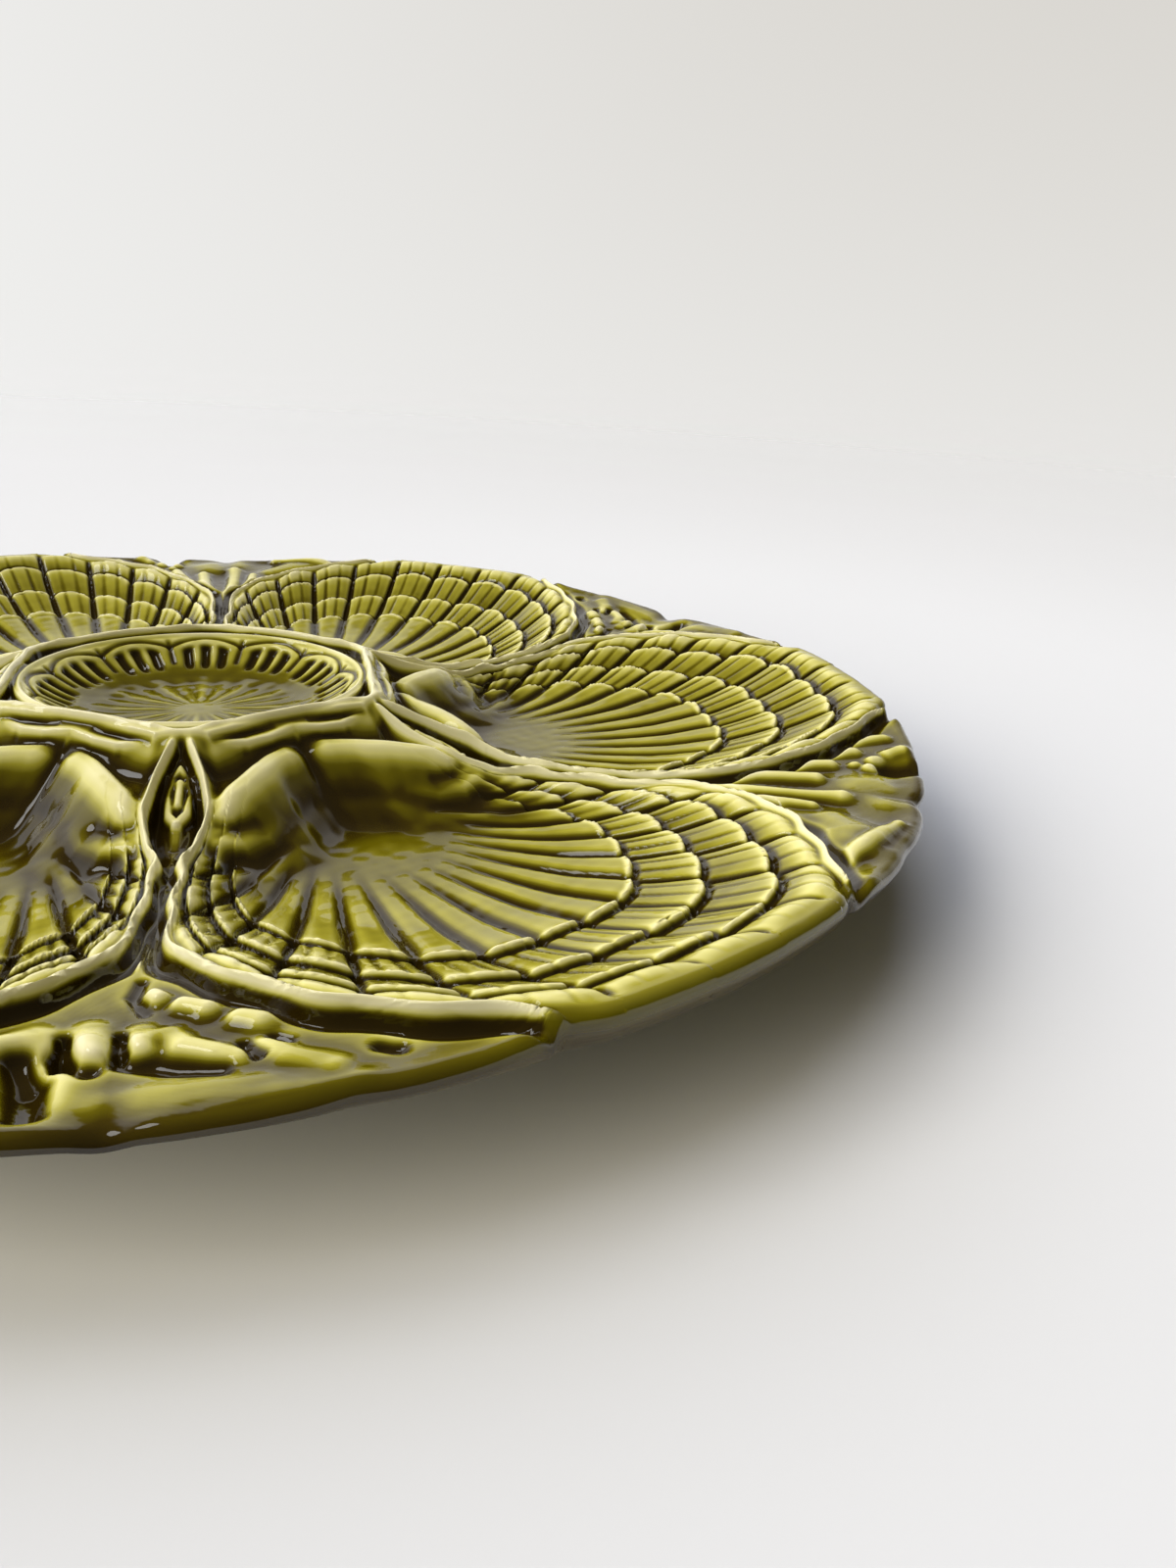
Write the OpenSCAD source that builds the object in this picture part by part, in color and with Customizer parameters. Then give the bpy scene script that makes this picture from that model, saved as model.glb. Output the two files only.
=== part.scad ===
// Oyster plate: a round glazed earthenware plate with six shell wells around a centre dish.
// The plate stands on +Z, its axis is the Z axis and the table is at z = 0. Lengths in millimetres.

/* [Plate] */
// Diameter of the plate at its rim
plate_d = 240; // [215:1:270]
// Thickness of the body under the well floors
floor_t = 4.7; // [4.2:0.1:8]
// Height of the outer face of the rim
rim_t = 5.2; // [4:0.1:6.5]
// Depth of the notches between the lobes of the rim
notch_depth = 1.6; // [0:0.1:3]

/* [Shell wells] */
// Depth of a well at its lowest below the top of the rim
well_depth = 13.8; // [11:0.1:16]
// Distance of a shell's hinge from the plate's axis
hinge_r = 40; // [38:0.5:45]
// Drop of the ridge behind a hinge below the top of the rim
ridge_drop = 5.6; // [4:0.1:8]
// Depth of the two pools behind the folds below the top of the rim
pool_depth = 6.4; // [4.5:0.1:8]
// Length over which the hinge wall sinks from the ridge to the floor
wall_run = 18; // [14:0.5:22]
// Drop of the lip at its lowest, between two neighbouring wells
lip_drop = 7.5; // [5:0.1:8.5]
// Height of the ribs, from groove to crest
rib_h = 0.9; // [0.2:0.1:1.5]
// Height of the steps between the rows of scales
step_h = 0.9; // [0.2:0.1:2]
// Height of the two folds that run along the ridge
fold_h = 1; // [0:0.1:2]

/* [Weed panels] */
// Depth of a panel below the lips beside it
panel_drop = 2.8; // [1:0.1:3.5]
// Height of the fronds on a panel
frond_h = 1; // [0:0.1:1.5]
// Height of the seed in the leaf-shaped cell at a panel's inner end
seed_h = 1.6; // [0:0.1:2]

/* [Centre dish] */
// Diameter of the centre dish at its edge
dish_d = 54.8; // [50:0.2:56]
// Depth of the centre dish below its edge
dish_depth = 6; // [4:0.1:7]
// Drop of the dish edge below the top of the rim
dish_edge_drop = 0.9; // [0.4:0.1:1.5]
// Depth of the slots in the dish wall
slot_depth = 0.8; // [0:0.1:1.2]
// Width of the groove around the dish edge
groove_w = 1.2; // [0.8:0.1:1.6]
// Depth of the groove around the dish edge
groove_depth = 1.5; // [0.5:0.1:2.5]
// Distance across the flats of the six-sided border
border_flats = 60; // [60:0.2:64]
// Distance across the rounded corners of the border
border_corners = 67.2; // [65:0.2:69]
// Drop of the border's outer edge below the top of the rim
border_drop = 1; // [0.5:0.1:1.8]

/* [Underside] */
// Outer diameter of the foot ring where it meets the body
foot_d = 134; // [128:1:140]
// Width of the foot ring where it meets the body
foot_w = 7; // [5:0.5:9]
// Width of the bare face that the foot ring stands on
foot_face_w = 4.5; // [2.5:0.1:5]
// Height of the foot ring
foot_h = 5.5; // [4:0.1:8]
// Height of the hollow under the centre dish
hollow_h = 6.5; // [3:0.1:7]
// Diameter of the flat top of that hollow
hollow_d = 46; // [36:1:52]
// Diameter at which the underside starts to rise below a panel
rise_d = 156; // [150:1:166]
// Further distance that the underside stays flat below a well
well_flat = 14; // [8:0.5:16]
// Further distance that the hollow reaches below a panel
hollow_reach = 9; // [4:0.5:10]
// Distance over which the hollow's side comes down
hollow_side = 13; // [10:0.5:15]

/* [Hidden] */
well_count = 6;
sector = 360 / well_count;
half = sector / 2;
plate_r = plate_d / 2;
rim_z = foot_h + floor_t + well_depth;
floor_z = foot_h + floor_t;
pool_z = rim_z - pool_depth;
dish_r = dish_d / 2;
dish_edge_z = rim_z - dish_edge_drop;
dish_floor_z = dish_edge_z - dish_depth;
groove_r = dish_r + groove_w;
groove_z = dish_edge_z - groove_depth;
border_z = rim_z - border_drop;
foot_r = foot_d / 2;
glaze_color = [0.46, 0.47, 0.1];
clay_color = [0.8, 0.74, 0.64];

// Points along one side of a lip, as shares of the rim's radius, from the rim inwards
lip_place_shares = [1, 0.955, 0.925, 0.9, 0.88, 0.85, 0.815, 0.78, 0.74, 0.69, 0.63,
    0.585, 0.545, 0.505, 0.465, 0.445, 0.425, 0.385, 0.36, 0.325, 0.3];
// Half angle of a shell, as a share of half a sector, by the share of the rim's radius
lip_angle_shares = [[0.25, 0.93], [0.3, 0.9], [0.34, 0.87], [0.39, 0.855], [0.46, 0.917],
    [0.52, 0.967], [0.66, 0.97], [0.73, 0.94], [0.82, 0.8], [0.88, 0.667], [0.94, 0.467],
    [0.97, 0.4], [1, 0.36]];
// Drop of the lip, as a share of lip_drop, by the share of the rim's radius
lip_drop_shares = [[0.28, 0.15], [0.34, 0.55], [0.4, 0.87], [0.47, 1], [0.63, 1],
    [0.73, 0.71], [0.82, 0.48], [0.9, 0.32], [0.95, 0.24], [1, 0.08]];
// Depth of a panel, as a share of panel_drop, by the share of the rim's radius
panel_drop_shares = [[0.28, 0], [0.3, 0.4], [0.34, 0.9], [0.44, 0.95], [0.52, 0.55],
    [0.66, 0.55], [0.76, 0.8], [0.9, 0.9], [0.96, 0.8], [1, 0.45]];
// Rings of a shell from the hinge to the lip: share of the way, rise of the floor as a share
// of the whole rise, and height of the step's edge as a share of step_h
shell_ring_shares = [[0.1, 0, 0], [0.2, 0, 0], [0.32, 0.025, 0], [0.46, 0.1, 0], [0.57, 0.185, 0.1],
    [0.635, 0.24, 0.5], [0.65, 0.255, -0.4], [0.765, 0.44, 0.5], [0.78, 0.47, -0.4], [0.885, 0.73, 0.5],
    [0.9, 0.76, -0.3], [0.965, 0.97, 0.4], [1, 1, 0]];
// Place of the ridge behind a hinge: share of the rim's radius out, by the share across
ridge_place_shares = [[0, 0.276], [0.02, 0.28], [0.05, 0.292], [0.08, 0.312], [0.12, 0.338],
    [0.15, 0.354], [0.175, 0.364], [0.21, 0.376], [0.26, 0.39]];
// Drop of that ridge, as a share of ridge_drop, by the share across
ridge_drop_shares = [[0, 1], [0.03, 0.84], [0.08, 0.86], [0.12, 0.95], [0.15, 1.07], [0.18, 1.32],
    [0.21, 1.71], [0.26, 2.41]];
// Drop of the hinge wall from the ridge to the floor, by the share of wall_run
wall_drop_shares = [[0, 0], [0.055, 0.02], [0.14, 0.09], [0.28, 0.25], [0.42, 0.44], [0.56, 0.64],
    [0.67, 0.79], [0.78, 0.91], [0.89, 0.985], [1, 1.02]];
// Rings of the underside of a shell, as shares of the way from the hinge to the lip
under_ring_shares = [1, 0.75, 0.45];
// Points on the rim from a shell's middle to its corner, as shares of its half angle
rim_shares = [0, 0.25, 0.5, 0.75];
// Points across a panel, from one lip to the other, as shares of its half width
across_shares = [-1, -0.86, -0.68, -0.5, -0.32, -0.14, 0, 0.14, 0.32, 0.5, 0.68, 0.86, 1];
// Heights across a panel as shares of frond_h, fronds standing and gaps between them
frond_shares = [0, -0.4, 0.7, -0.5, 0.8, -0.5, 0.6, -0.5, 0.8, -0.5, 0.7, -0.4, 0];
// Rings of the dish: share of the radius, height as a share of the depth, slot share
dish_ring_shares = [[0.2, 0.02, 0.25], [0.45, 0, 0.35], [0.66, 0.02, 0.4], [0.74, 0.1, 0.5],
    [0.8, 0.3, 1], [0.91, 0.78, 1], [0.95, 0.93, 0], [1, 1, 0]];
// Crests of the border between its inner and outer edge: share of the way and of groove_depth
crest_shares = [[0.35, 0.55], [0.75, 0.75]];
// Angle between two points on the rings of the dish and its border
ring_step = 5;
// Angle over which a notch in the rim runs out on each side
notch_reach = 4;
// Slope of the underside where it starts to rise, as a share of its mean slope
rise_start = 0.8;
// Number of places on a lip, from the rim inwards, where ribs meet it
ribbed_places = 17;
// Height of the ribs at the lip, and beside the hinge, as shares of rib_h
lip_rib = 0.5;
rib_share = 0.2;
// Shares across between which the wall gets shorter, and its length from there on as a share
short_from = 0.05;
short_to = 0.15;
short_wall = 0.8;
// Where a fold swells and fades again, as shares across, and what is left of it there
fold_start = 0.035;
fold_fade = [0.13, 0.19];
fold_left = 0.5;
// Middle and half width of a fold, as shares of wall_run
fold_place = 0.22;
fold_half = 0.17;
// Widths of a pool's sides towards the border, the lip and the ridge, and of the ridge's own top
border_side = 4.6;
lip_side = 4.2;
ridge_side = 3.4;
ridge_top = 2;
// Share across over which the ridge's slope is taken
slope_step = 0.01;
// Lengths that round off where the wall meets the bowl, and where a pool's sides meet
wall_round = 3;
pool_round = 0.5;
// Where a seed stands on its panel and how far it reaches out and across, as shares
seed_share = 0.4;
seed_reach = 0.07;
seed_width = 0.6;
// Where the fronds start on a panel, and the length over which they rise, as shares
frond_start = 0.7;
frond_blend = 0.08;

// Geometry of the plate
function smooth(t) = let (c = min(1, max(0, t))) c * c * (3 - 2 * c);
function mix(a, b, t) = a + (b - a) * t;
// Angle from the middle of the nearest shell, from 0 to half a sector
function from_shell(angle) = min(abs(angle) % sector, sector - abs(angle) % sector);
function notch(angle, place) = max(0, 1 - abs(from_shell(angle) - place) / notch_reach);
// Radius of the lobed rim at an angle from the X axis
function rim_r(angle) = plate_r - notch_depth * (notch(angle, half * lookup(1, lip_angle_shares))
    + notch(angle, half));
function on_plate(share, angle) = share * rim_r(angle) * [cos(angle), sin(angle)];
function border_r(angle) = min(border_flats / 2 / cos(from_shell(angle)), border_corners / 2);
// Height of the underside at a point
function under_z(point) = let (
    r = norm(point),
    panel = smooth(from_shell(atan2(point.y, point.x)) / half),
    side = hollow_side + hollow_reach * panel,
    start = rise_d / 2 + well_flat * (1 - panel),
    out = max(0, r - start) / (plate_r - start))
    foot_h + hollow_h * (1 - smooth((r - hollow_d / 2) / side))
    + (rim_z - rim_t - foot_h) * min(1, out) * mix(rise_start, 1, min(1, out));
function lip_z(share) = rim_z - lip_drop * lookup(share, lip_drop_shares);
// A rib stands on every second column of a shell
function rib(column) = (column % 2 == 0 ? 0.5 : -0.5) * rib_h;

// Edge of a shell from the middle of the rim round to the middle of the border, half of it
function lip_edge(k) = let (q = lip_place_shares[k])
    concat(on_plate(q, half * lookup(q, lip_angle_shares)), lip_z(q));
rim_angle = half * lookup(1, lip_angle_shares);
half_edge = concat(
    [for (k = [0 : len(rim_shares) - 1]) concat(on_plate(1, rim_shares[k] * rim_angle),
        lip_z(1) + rib(k) * lip_rib)],
    [for (k = [0 : len(lip_place_shares) - 1]) let (p = lip_edge(k))
        [p.x, p.y, p.z + (k < ribbed_places ? rib(k) * lip_rib : 0)]],
    [for (angle = [half - ring_step / 2 : -ring_step : 0])
        [border_r(angle) * cos(angle), border_r(angle) * sin(angle), border_z]]);
rib_columns = len(rim_shares) + ribbed_places;
side_start = len(rim_shares);
side_end = side_start + len(lip_place_shares);
function flip(p) = [p.x, -p.y, p.z];
shell_edge = concat(half_edge, [for (k = [len(half_edge) - 1 : -1 : 1]) flip(half_edge[k])]);
function column_of(k) = k < len(half_edge) ? k : len(shell_edge) - k;

// The higher of two heights, rounded off where they cross
function higher(a, b, round) = (a + b + sqrt((a - b) * (a - b) + round * round) - round) / 2;
function bell(t) = exp(-t * t);

// Height of a shell's hinge wall and of the pools behind it, at a point and its distance to the edge
function crest_z(side) = rim_z - ridge_drop * lookup(side, ridge_drop_shares);
function ridge_out(point, side) = let (
    slope = (lookup(side + slope_step, ridge_place_shares) - lookup(side - slope_step, ridge_place_shares))
        / (2 * slope_step))
    (point.x - plate_r * lookup(side, ridge_place_shares)) / norm([1, slope]);
function wall_z(out, side) = let (
    run = wall_run * mix(1, short_wall, smooth((side - short_from) / (short_to - short_from))),
    fold = smooth(side / fold_start)
        * (1 - (1 - fold_left) * smooth((side - fold_fade[0]) / (fold_fade[1] - fold_fade[0]))))
    crest_z(side) - (crest_z(side) - floor_z) * lookup(out / run, wall_drop_shares)
    + fold_h * fold * bell((out / wall_run - fold_place) / fold_half);
function pool_side(from, gap, width) = from - (from - pool_z) * smooth(gap / width);
function back_z(point, out, side, edge, gap) = let (
    outside = norm(point) - border_r(atan2(point.y, point.x)))
    higher(pool_side(border_z, outside, border_side),
        higher(pool_side(edge.z, gap, lip_side), pool_side(crest_z(side), -out, ridge_side), pool_round),
        pool_round);

// Height of a shell's upper face on the way from the hinge to a point of its edge
function shell_z(point, edge, column, ring) = let (
    side = abs(point.y) / plate_r,
    out = ridge_out(point, side),
    gap = norm([edge.x - point.x, edge.y - point.y]),
    bowl = floor_z + (edge.z - floor_z) * ring[1] + step_h * ring[2]
        + (column < rib_columns ? rib(column) * min(1, rib_share + ring[0]) : 0))
    mix(back_z(point, out, side, edge, gap), higher(bowl, wall_z(out, side), wall_round),
        smooth(out / ridge_top + 0.5));
hinge = [hinge_r, 0];
shell_top = [for (ring = shell_ring_shares) [for (k = [0 : len(shell_edge) - 1])
    let (edge = shell_edge[k], p = mix(hinge, [edge.x, edge.y], ring[0]))
    [p.x, p.y, ring[0] == 1 ? edge.z : shell_z(p, edge, column_of(k), ring)]]];
shell_under = [for (s = under_ring_shares) [for (edge = shell_edge)
    let (p = mix(hinge, [edge.x, edge.y], s)) [p.x, p.y, under_z(p)]]];

// Panel between two shells, drawn with the line between them turned to the X axis
function turn(p, angle) = [p.x * cos(angle) - p.y * sin(angle), p.x * sin(angle) + p.y * cos(angle)];
panel_lines = [for (k = [side_end : -1 : side_start]) half_edge[k]];
function panel_plan(line, t, first) = let (
    share = norm([line.x, line.y]) / rim_r(atan2(line.y, line.x)),
    width = half - atan2(line.y, line.x),
    corner = turn([line.x, line.y], -half))
    first ? [corner.x, -t * corner.y] : turn(on_plate(share, half + t * width), -half);
function panel_z(line, column, first) = let (
    share = norm([line.x, line.y]) / rim_r(atan2(line.y, line.x)),
    t = abs(across_shares[column]),
    fronds = smooth((share - frond_start) / frond_blend),
    seed = max(0, 1 - abs(share - seed_share) / seed_reach) * max(0, 1 - t / seed_width))
    line.z - (first || t == 1 ? 0 : panel_drop * lookup(share, panel_drop_shares)
    - frond_h * frond_shares[column] * fronds - seed_h * seed);
function panel_loop(line, first) = let (
    top = [for (column = [0 : len(across_shares) - 1])
        let (p = panel_plan(line, across_shares[column], first))
        [p.x, p.y, panel_z(line, column, first)]])
    concat(top, [for (column = [len(top) - 1 : -1 : 0])
        [top[column].x, top[column].y, under_z(turn(top[column], half))]]);

// Dish and its border
function ring_at(radius, z, shift) = [for (angle = [shift : ring_step : shift + 360 - ring_step])
    [radius * cos(angle), radius * sin(angle), z]];
function slot(angle) = (angle / ring_step) % 2 == 0 ? -0.5 : 0.5;
dish_top = concat(
    [for (ring = dish_ring_shares) [for (angle = [0 : ring_step : 360 - ring_step])
        [dish_r * ring[0] * cos(angle), dish_r * ring[0] * sin(angle),
        mix(dish_floor_z, dish_edge_z, ring[1]) + slot(angle) * slot_depth * ring[2]]]],
    [ring_at(groove_r, groove_z, ring_step / 2)]);
function under_ring(radius, shift) = [for (p = ring_at(radius, 0, shift)) [p.x, p.y, under_z(p)]];
dish_under = [under_ring(groove_r, ring_step / 2), under_ring(hollow_d / 2, 0)];
function border_ring(share, z) = [for (angle = [ring_step / 2 : ring_step : 360 - ring_step / 2])
    let (r = mix(groove_r, border_r(angle), share)) [r * cos(angle), r * sin(angle), z]];
function drop_to_under(ring) = [for (p = ring) [p.x, p.y, under_z(p)]];
border_inner = border_ring(0, groove_z);
border_outer = border_ring(1, border_z);
border_loops = concat([border_inner],
    [for (crest = crest_shares) border_ring(crest[0], groove_z + groove_depth * crest[1] + dish_edge_drop)],
    [border_outer, drop_to_under(border_outer), drop_to_under(border_inner)]);

// Triangles between ring a and the next ring, each of n points
function band(a, b, n) = [for (k = [0 : n - 1], tri = let (j = (k + 1) % n)
    [[a + k, a + j, b + j], [a + k, b + j, b + k]]) tri];
function joined(lists) = [for (one = lists, item = one) item];

// Closed solid through rings that run from one pole to the other
module pole_solid(first, rings, last) {
    n = len(rings[0]);
    end = 1 + n * len(rings);
    faces = concat(
        [for (k = [0 : n - 1]) [0, 1 + (k + 1) % n, 1 + k]],
        [for (i = [0 : len(rings) - 2], tri = band(1 + i * n, 1 + (i + 1) * n, n))
            tri],
        [for (k = [0 : n - 1]) [end, end - n + k, end - n + (k + 1) % n]]);
    polyhedron(concat([first], joined(rings), [last]), faces);
}

// Closed solid through rings that come back to the first
module ring_solid(rings) {
    n = len(rings[0]);
    faces = [for (i = [0 : len(rings) - 1], tri = band(i * n, ((i + 1) % len(rings)) * n, n)) tri];
    polyhedron(joined(rings), faces);
}

// Closed solid through loops whose second half runs back below the first
module strip_solid(loops) {
    n = len(loops[0]);
    far = (len(loops) - 1) * n;
    cap = [for (k = [0 : n / 2 - 2], tri = [[k, k + 1, n - 2 - k], [k, n - 2 - k, n - 1 - k]]) tri];
    faces = concat(
        [for (i = [0 : len(loops) - 2], tri = band(i * n, (i + 1) * n, n)) tri],
        [for (tri = cap) [tri[2], tri[1], tri[0]]],
        [for (tri = cap) [far + tri[0], far + tri[1], far + tri[2]]]);
    polyhedron(joined(loops), faces);
}

module centre_dish() {
    color(glaze_color)
        pole_solid([0, 0, dish_floor_z], concat(dish_top, dish_under), [0, 0, foot_h + hollow_h]);
}

module dish_border() {
    color(glaze_color)
        ring_solid(border_loops);
}

// One shell well, with its ribs, rows of scales, hinge, folds and lip
module shell_well(place) {
    color(glaze_color)
        rotate([0, 0, (place - 1) * sector])
            pole_solid(concat(hinge, wall_z(ridge_out(hinge, 0), 0)), concat(shell_top, shell_under),
                concat(hinge, under_z(hinge)));
}

// One panel of sea weed, from the border out between two shells to the rim
module weed_panel(place) {
    color(glaze_color)
        rotate([0, 0, (place - 1) * sector + half])
            strip_solid([for (k = [0 : len(panel_lines) - 1]) panel_loop(panel_lines[k], k == 0)]);
}

// Turned ring that the plate stands on, its base left bare
module foot_ring() {
    slope = (foot_w - foot_face_w) / 2;
    color(clay_color)
        rotate_extrude($fn = 96)
            polygon([[foot_r - foot_w + slope, 0], [foot_r - slope, 0],
                [foot_r, foot_h], [foot_r - foot_w, foot_h]]);
}

centre_dish();
dish_border();
shell_well(1);  // shell_well_1
shell_well(2);  // shell_well_2
shell_well(3);  // shell_well_3
shell_well(4);  // shell_well_4
shell_well(5);  // shell_well_5
shell_well(6);  // shell_well_6
weed_panel(1);  // weed_panel_1
weed_panel(2);  // weed_panel_2
weed_panel(3);  // weed_panel_3
weed_panel(4);  // weed_panel_4
weed_panel(5);  // weed_panel_5
weed_panel(6);  // weed_panel_6
foot_ring();
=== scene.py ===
"""Glazed oyster plate on a pale table: dense relief, olive glaze, soft studio light."""

import math

import bpy
import numpy as np
from bpy.props import FloatProperty, FloatVectorProperty, IntProperty, PointerProperty
from mathutils import Matrix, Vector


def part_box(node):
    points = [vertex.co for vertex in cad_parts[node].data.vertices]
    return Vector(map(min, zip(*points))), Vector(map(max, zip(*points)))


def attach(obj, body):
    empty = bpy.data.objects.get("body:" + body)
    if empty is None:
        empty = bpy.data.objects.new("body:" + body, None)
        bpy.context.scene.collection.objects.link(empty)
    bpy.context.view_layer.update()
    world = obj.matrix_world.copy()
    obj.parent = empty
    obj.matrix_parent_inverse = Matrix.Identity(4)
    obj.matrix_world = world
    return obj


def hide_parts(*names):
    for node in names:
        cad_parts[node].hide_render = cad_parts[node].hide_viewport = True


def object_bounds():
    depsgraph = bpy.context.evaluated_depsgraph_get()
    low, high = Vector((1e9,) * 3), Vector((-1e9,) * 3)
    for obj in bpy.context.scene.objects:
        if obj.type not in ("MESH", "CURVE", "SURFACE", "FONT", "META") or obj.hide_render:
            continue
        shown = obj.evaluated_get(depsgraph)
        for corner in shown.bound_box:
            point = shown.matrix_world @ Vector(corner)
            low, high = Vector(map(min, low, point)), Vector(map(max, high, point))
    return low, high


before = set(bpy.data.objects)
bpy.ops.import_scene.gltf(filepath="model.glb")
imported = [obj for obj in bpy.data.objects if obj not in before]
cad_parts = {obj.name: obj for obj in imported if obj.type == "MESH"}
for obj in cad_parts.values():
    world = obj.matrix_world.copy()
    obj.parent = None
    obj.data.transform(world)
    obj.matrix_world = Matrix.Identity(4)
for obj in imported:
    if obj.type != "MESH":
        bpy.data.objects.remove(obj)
CAD_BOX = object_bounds()

bl_info = {
    "name": "Oyster plate",
    "version": (1, 0, 0),
    "blender": (4, 5, 0),
    "location": "View3D > Sidebar > Plate",
    "description": "Makes a glazed oyster plate with shell wells, a centre dish and seaweed relief",
    "category": "Add Mesh",
}

MM = 0.001
WELLS = 6
SECTOR = math.tau / WELLS
HALF = SECTOR / 2
PLATE_R = (CAD_BOX[1][0] - CAD_BOX[0][0]) / 2
FOOT_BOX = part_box("foot_ring")
FOOT_H = FOOT_BOX[1][2]
FOOT_R = FOOT_BOX[1][0]

# Shapes of the plate as pairs of a share of the rim's radius and a value
LIP_ANGLE_SHARES = ((0.25, 0.985), (0.275, 0.965), (0.305, 0.91), (0.345, 0.865), (0.395, 0.853),
    (0.43, 0.88), (0.475, 0.93), (0.52, 0.962), (0.66, 0.967), (0.73, 0.94), (0.82, 0.8), (0.88, 0.667),
    (0.94, 0.49), (0.97, 0.41), (1, 0.36))
LIP_DROP_SHARES = ((0.25, 0.12), (0.28, 0.15), (0.34, 0.55), (0.4, 0.87), (0.47, 1), (0.63, 1),
    (0.73, 0.71), (0.82, 0.48), (0.9, 0.32), (0.95, 0.24), (1, 0.08))
PANEL_DROP_SHARES = ((0.25, 0.15), (0.28, 0.55), (0.31, 1.05), (0.35, 1.25), (0.42, 1.15), (0.48, 0.85),
    (0.54, 0.65), (0.66, 0.6), (0.76, 0.75), (0.9, 0.85), (0.96, 0.8), (1, 0.55))
# Rise of a shell from floor to lip, by the share of the way from the hinge
RISE_SHARES = ((0, 0), (0.24, 0), (0.32, 0.025), (0.44, 0.09), (0.55, 0.17), (0.645, 0.25), (0.77, 0.45),
    (0.89, 0.74), (0.97, 0.98), (1.05, 1.02), (1.3, 1))
# Where the rows of scales start, as shares of that way
ROW_SHARES = (0.645, 0.772, 0.89)
# Ridge round a shell's hinge: place across and out in shares of the rim's radius
RIDGE_PLACES = ((0, 0.276), (0.02, 0.28), (0.05, 0.292), (0.08, 0.312), (0.12, 0.338), (0.15, 0.354),
    (0.175, 0.364), (0.21, 0.376), (0.26, 0.39))
# Drop of that ridge below the rim in millimetres, by the place across
RIDGE_DROPS = ((0, 4.9), (0.03, 4.6), (0.08, 4.7), (0.12, 5.3), (0.15, 6), (0.18, 7.4), (0.21, 9.6),
    (0.26, 13.5))
# Drop of the wall inside that ridge by the distance from it in millimetres, as a share
WALL_SHARES = ((0, 0), (1, 0.02), (2.5, 0.09), (5, 0.25), (7.5, 0.44), (10, 0.64), (12, 0.79), (14, 0.91),
    (16, 0.985), (18, 1.02), (21, 1.04))
# Strokes, each a row of points: out, across, height in millimetres, half width, all but the height in
# thousandths of the rim's radius. The first are the small folds below the main ones at a hinge
LOBES = (
    ((385, 215, 0.4, 10), (405, 185, 0.8, 11), (414, 153, 0.9, 11), (405, 120, 0.6, 10),
     (385, 90, 0.2, 9)),
    ((360, 200, -0.5, 7), (380, 175, -0.6, 8), (390, 150, -0.5, 7), (385, 125, -0.3, 7)),
    ((400, 225, -0.4, 9), (437, 187, -0.7, 10), (435, 145, -0.5, 10), (415, 100, -0.2, 8)),
    ((455, 262, 0.4, 14), (468, 205, 0.9, 16), (458, 150, 0.9, 16), (430, 90, 0.4, 14)))
# Seed in the leaf-shaped cell
SEED = (
    ((312, 0, 0.9, 7), (325, 11, 1.1, 6), (352, 15, 1.2, 6), (382, 11, 1.2, 6), (400, 0, 1.2, 7),
     (385, -10, 1.1, 6), (352, -14, 1.1, 6), (322, -9, 1, 6), (312, 0, 0.9, 7)),
    ((335, 1, 1, 6), (372, 0, 1, 5)), ((408, 0, 0.7, 8), (435, 0, 0.2, 5)))
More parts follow.
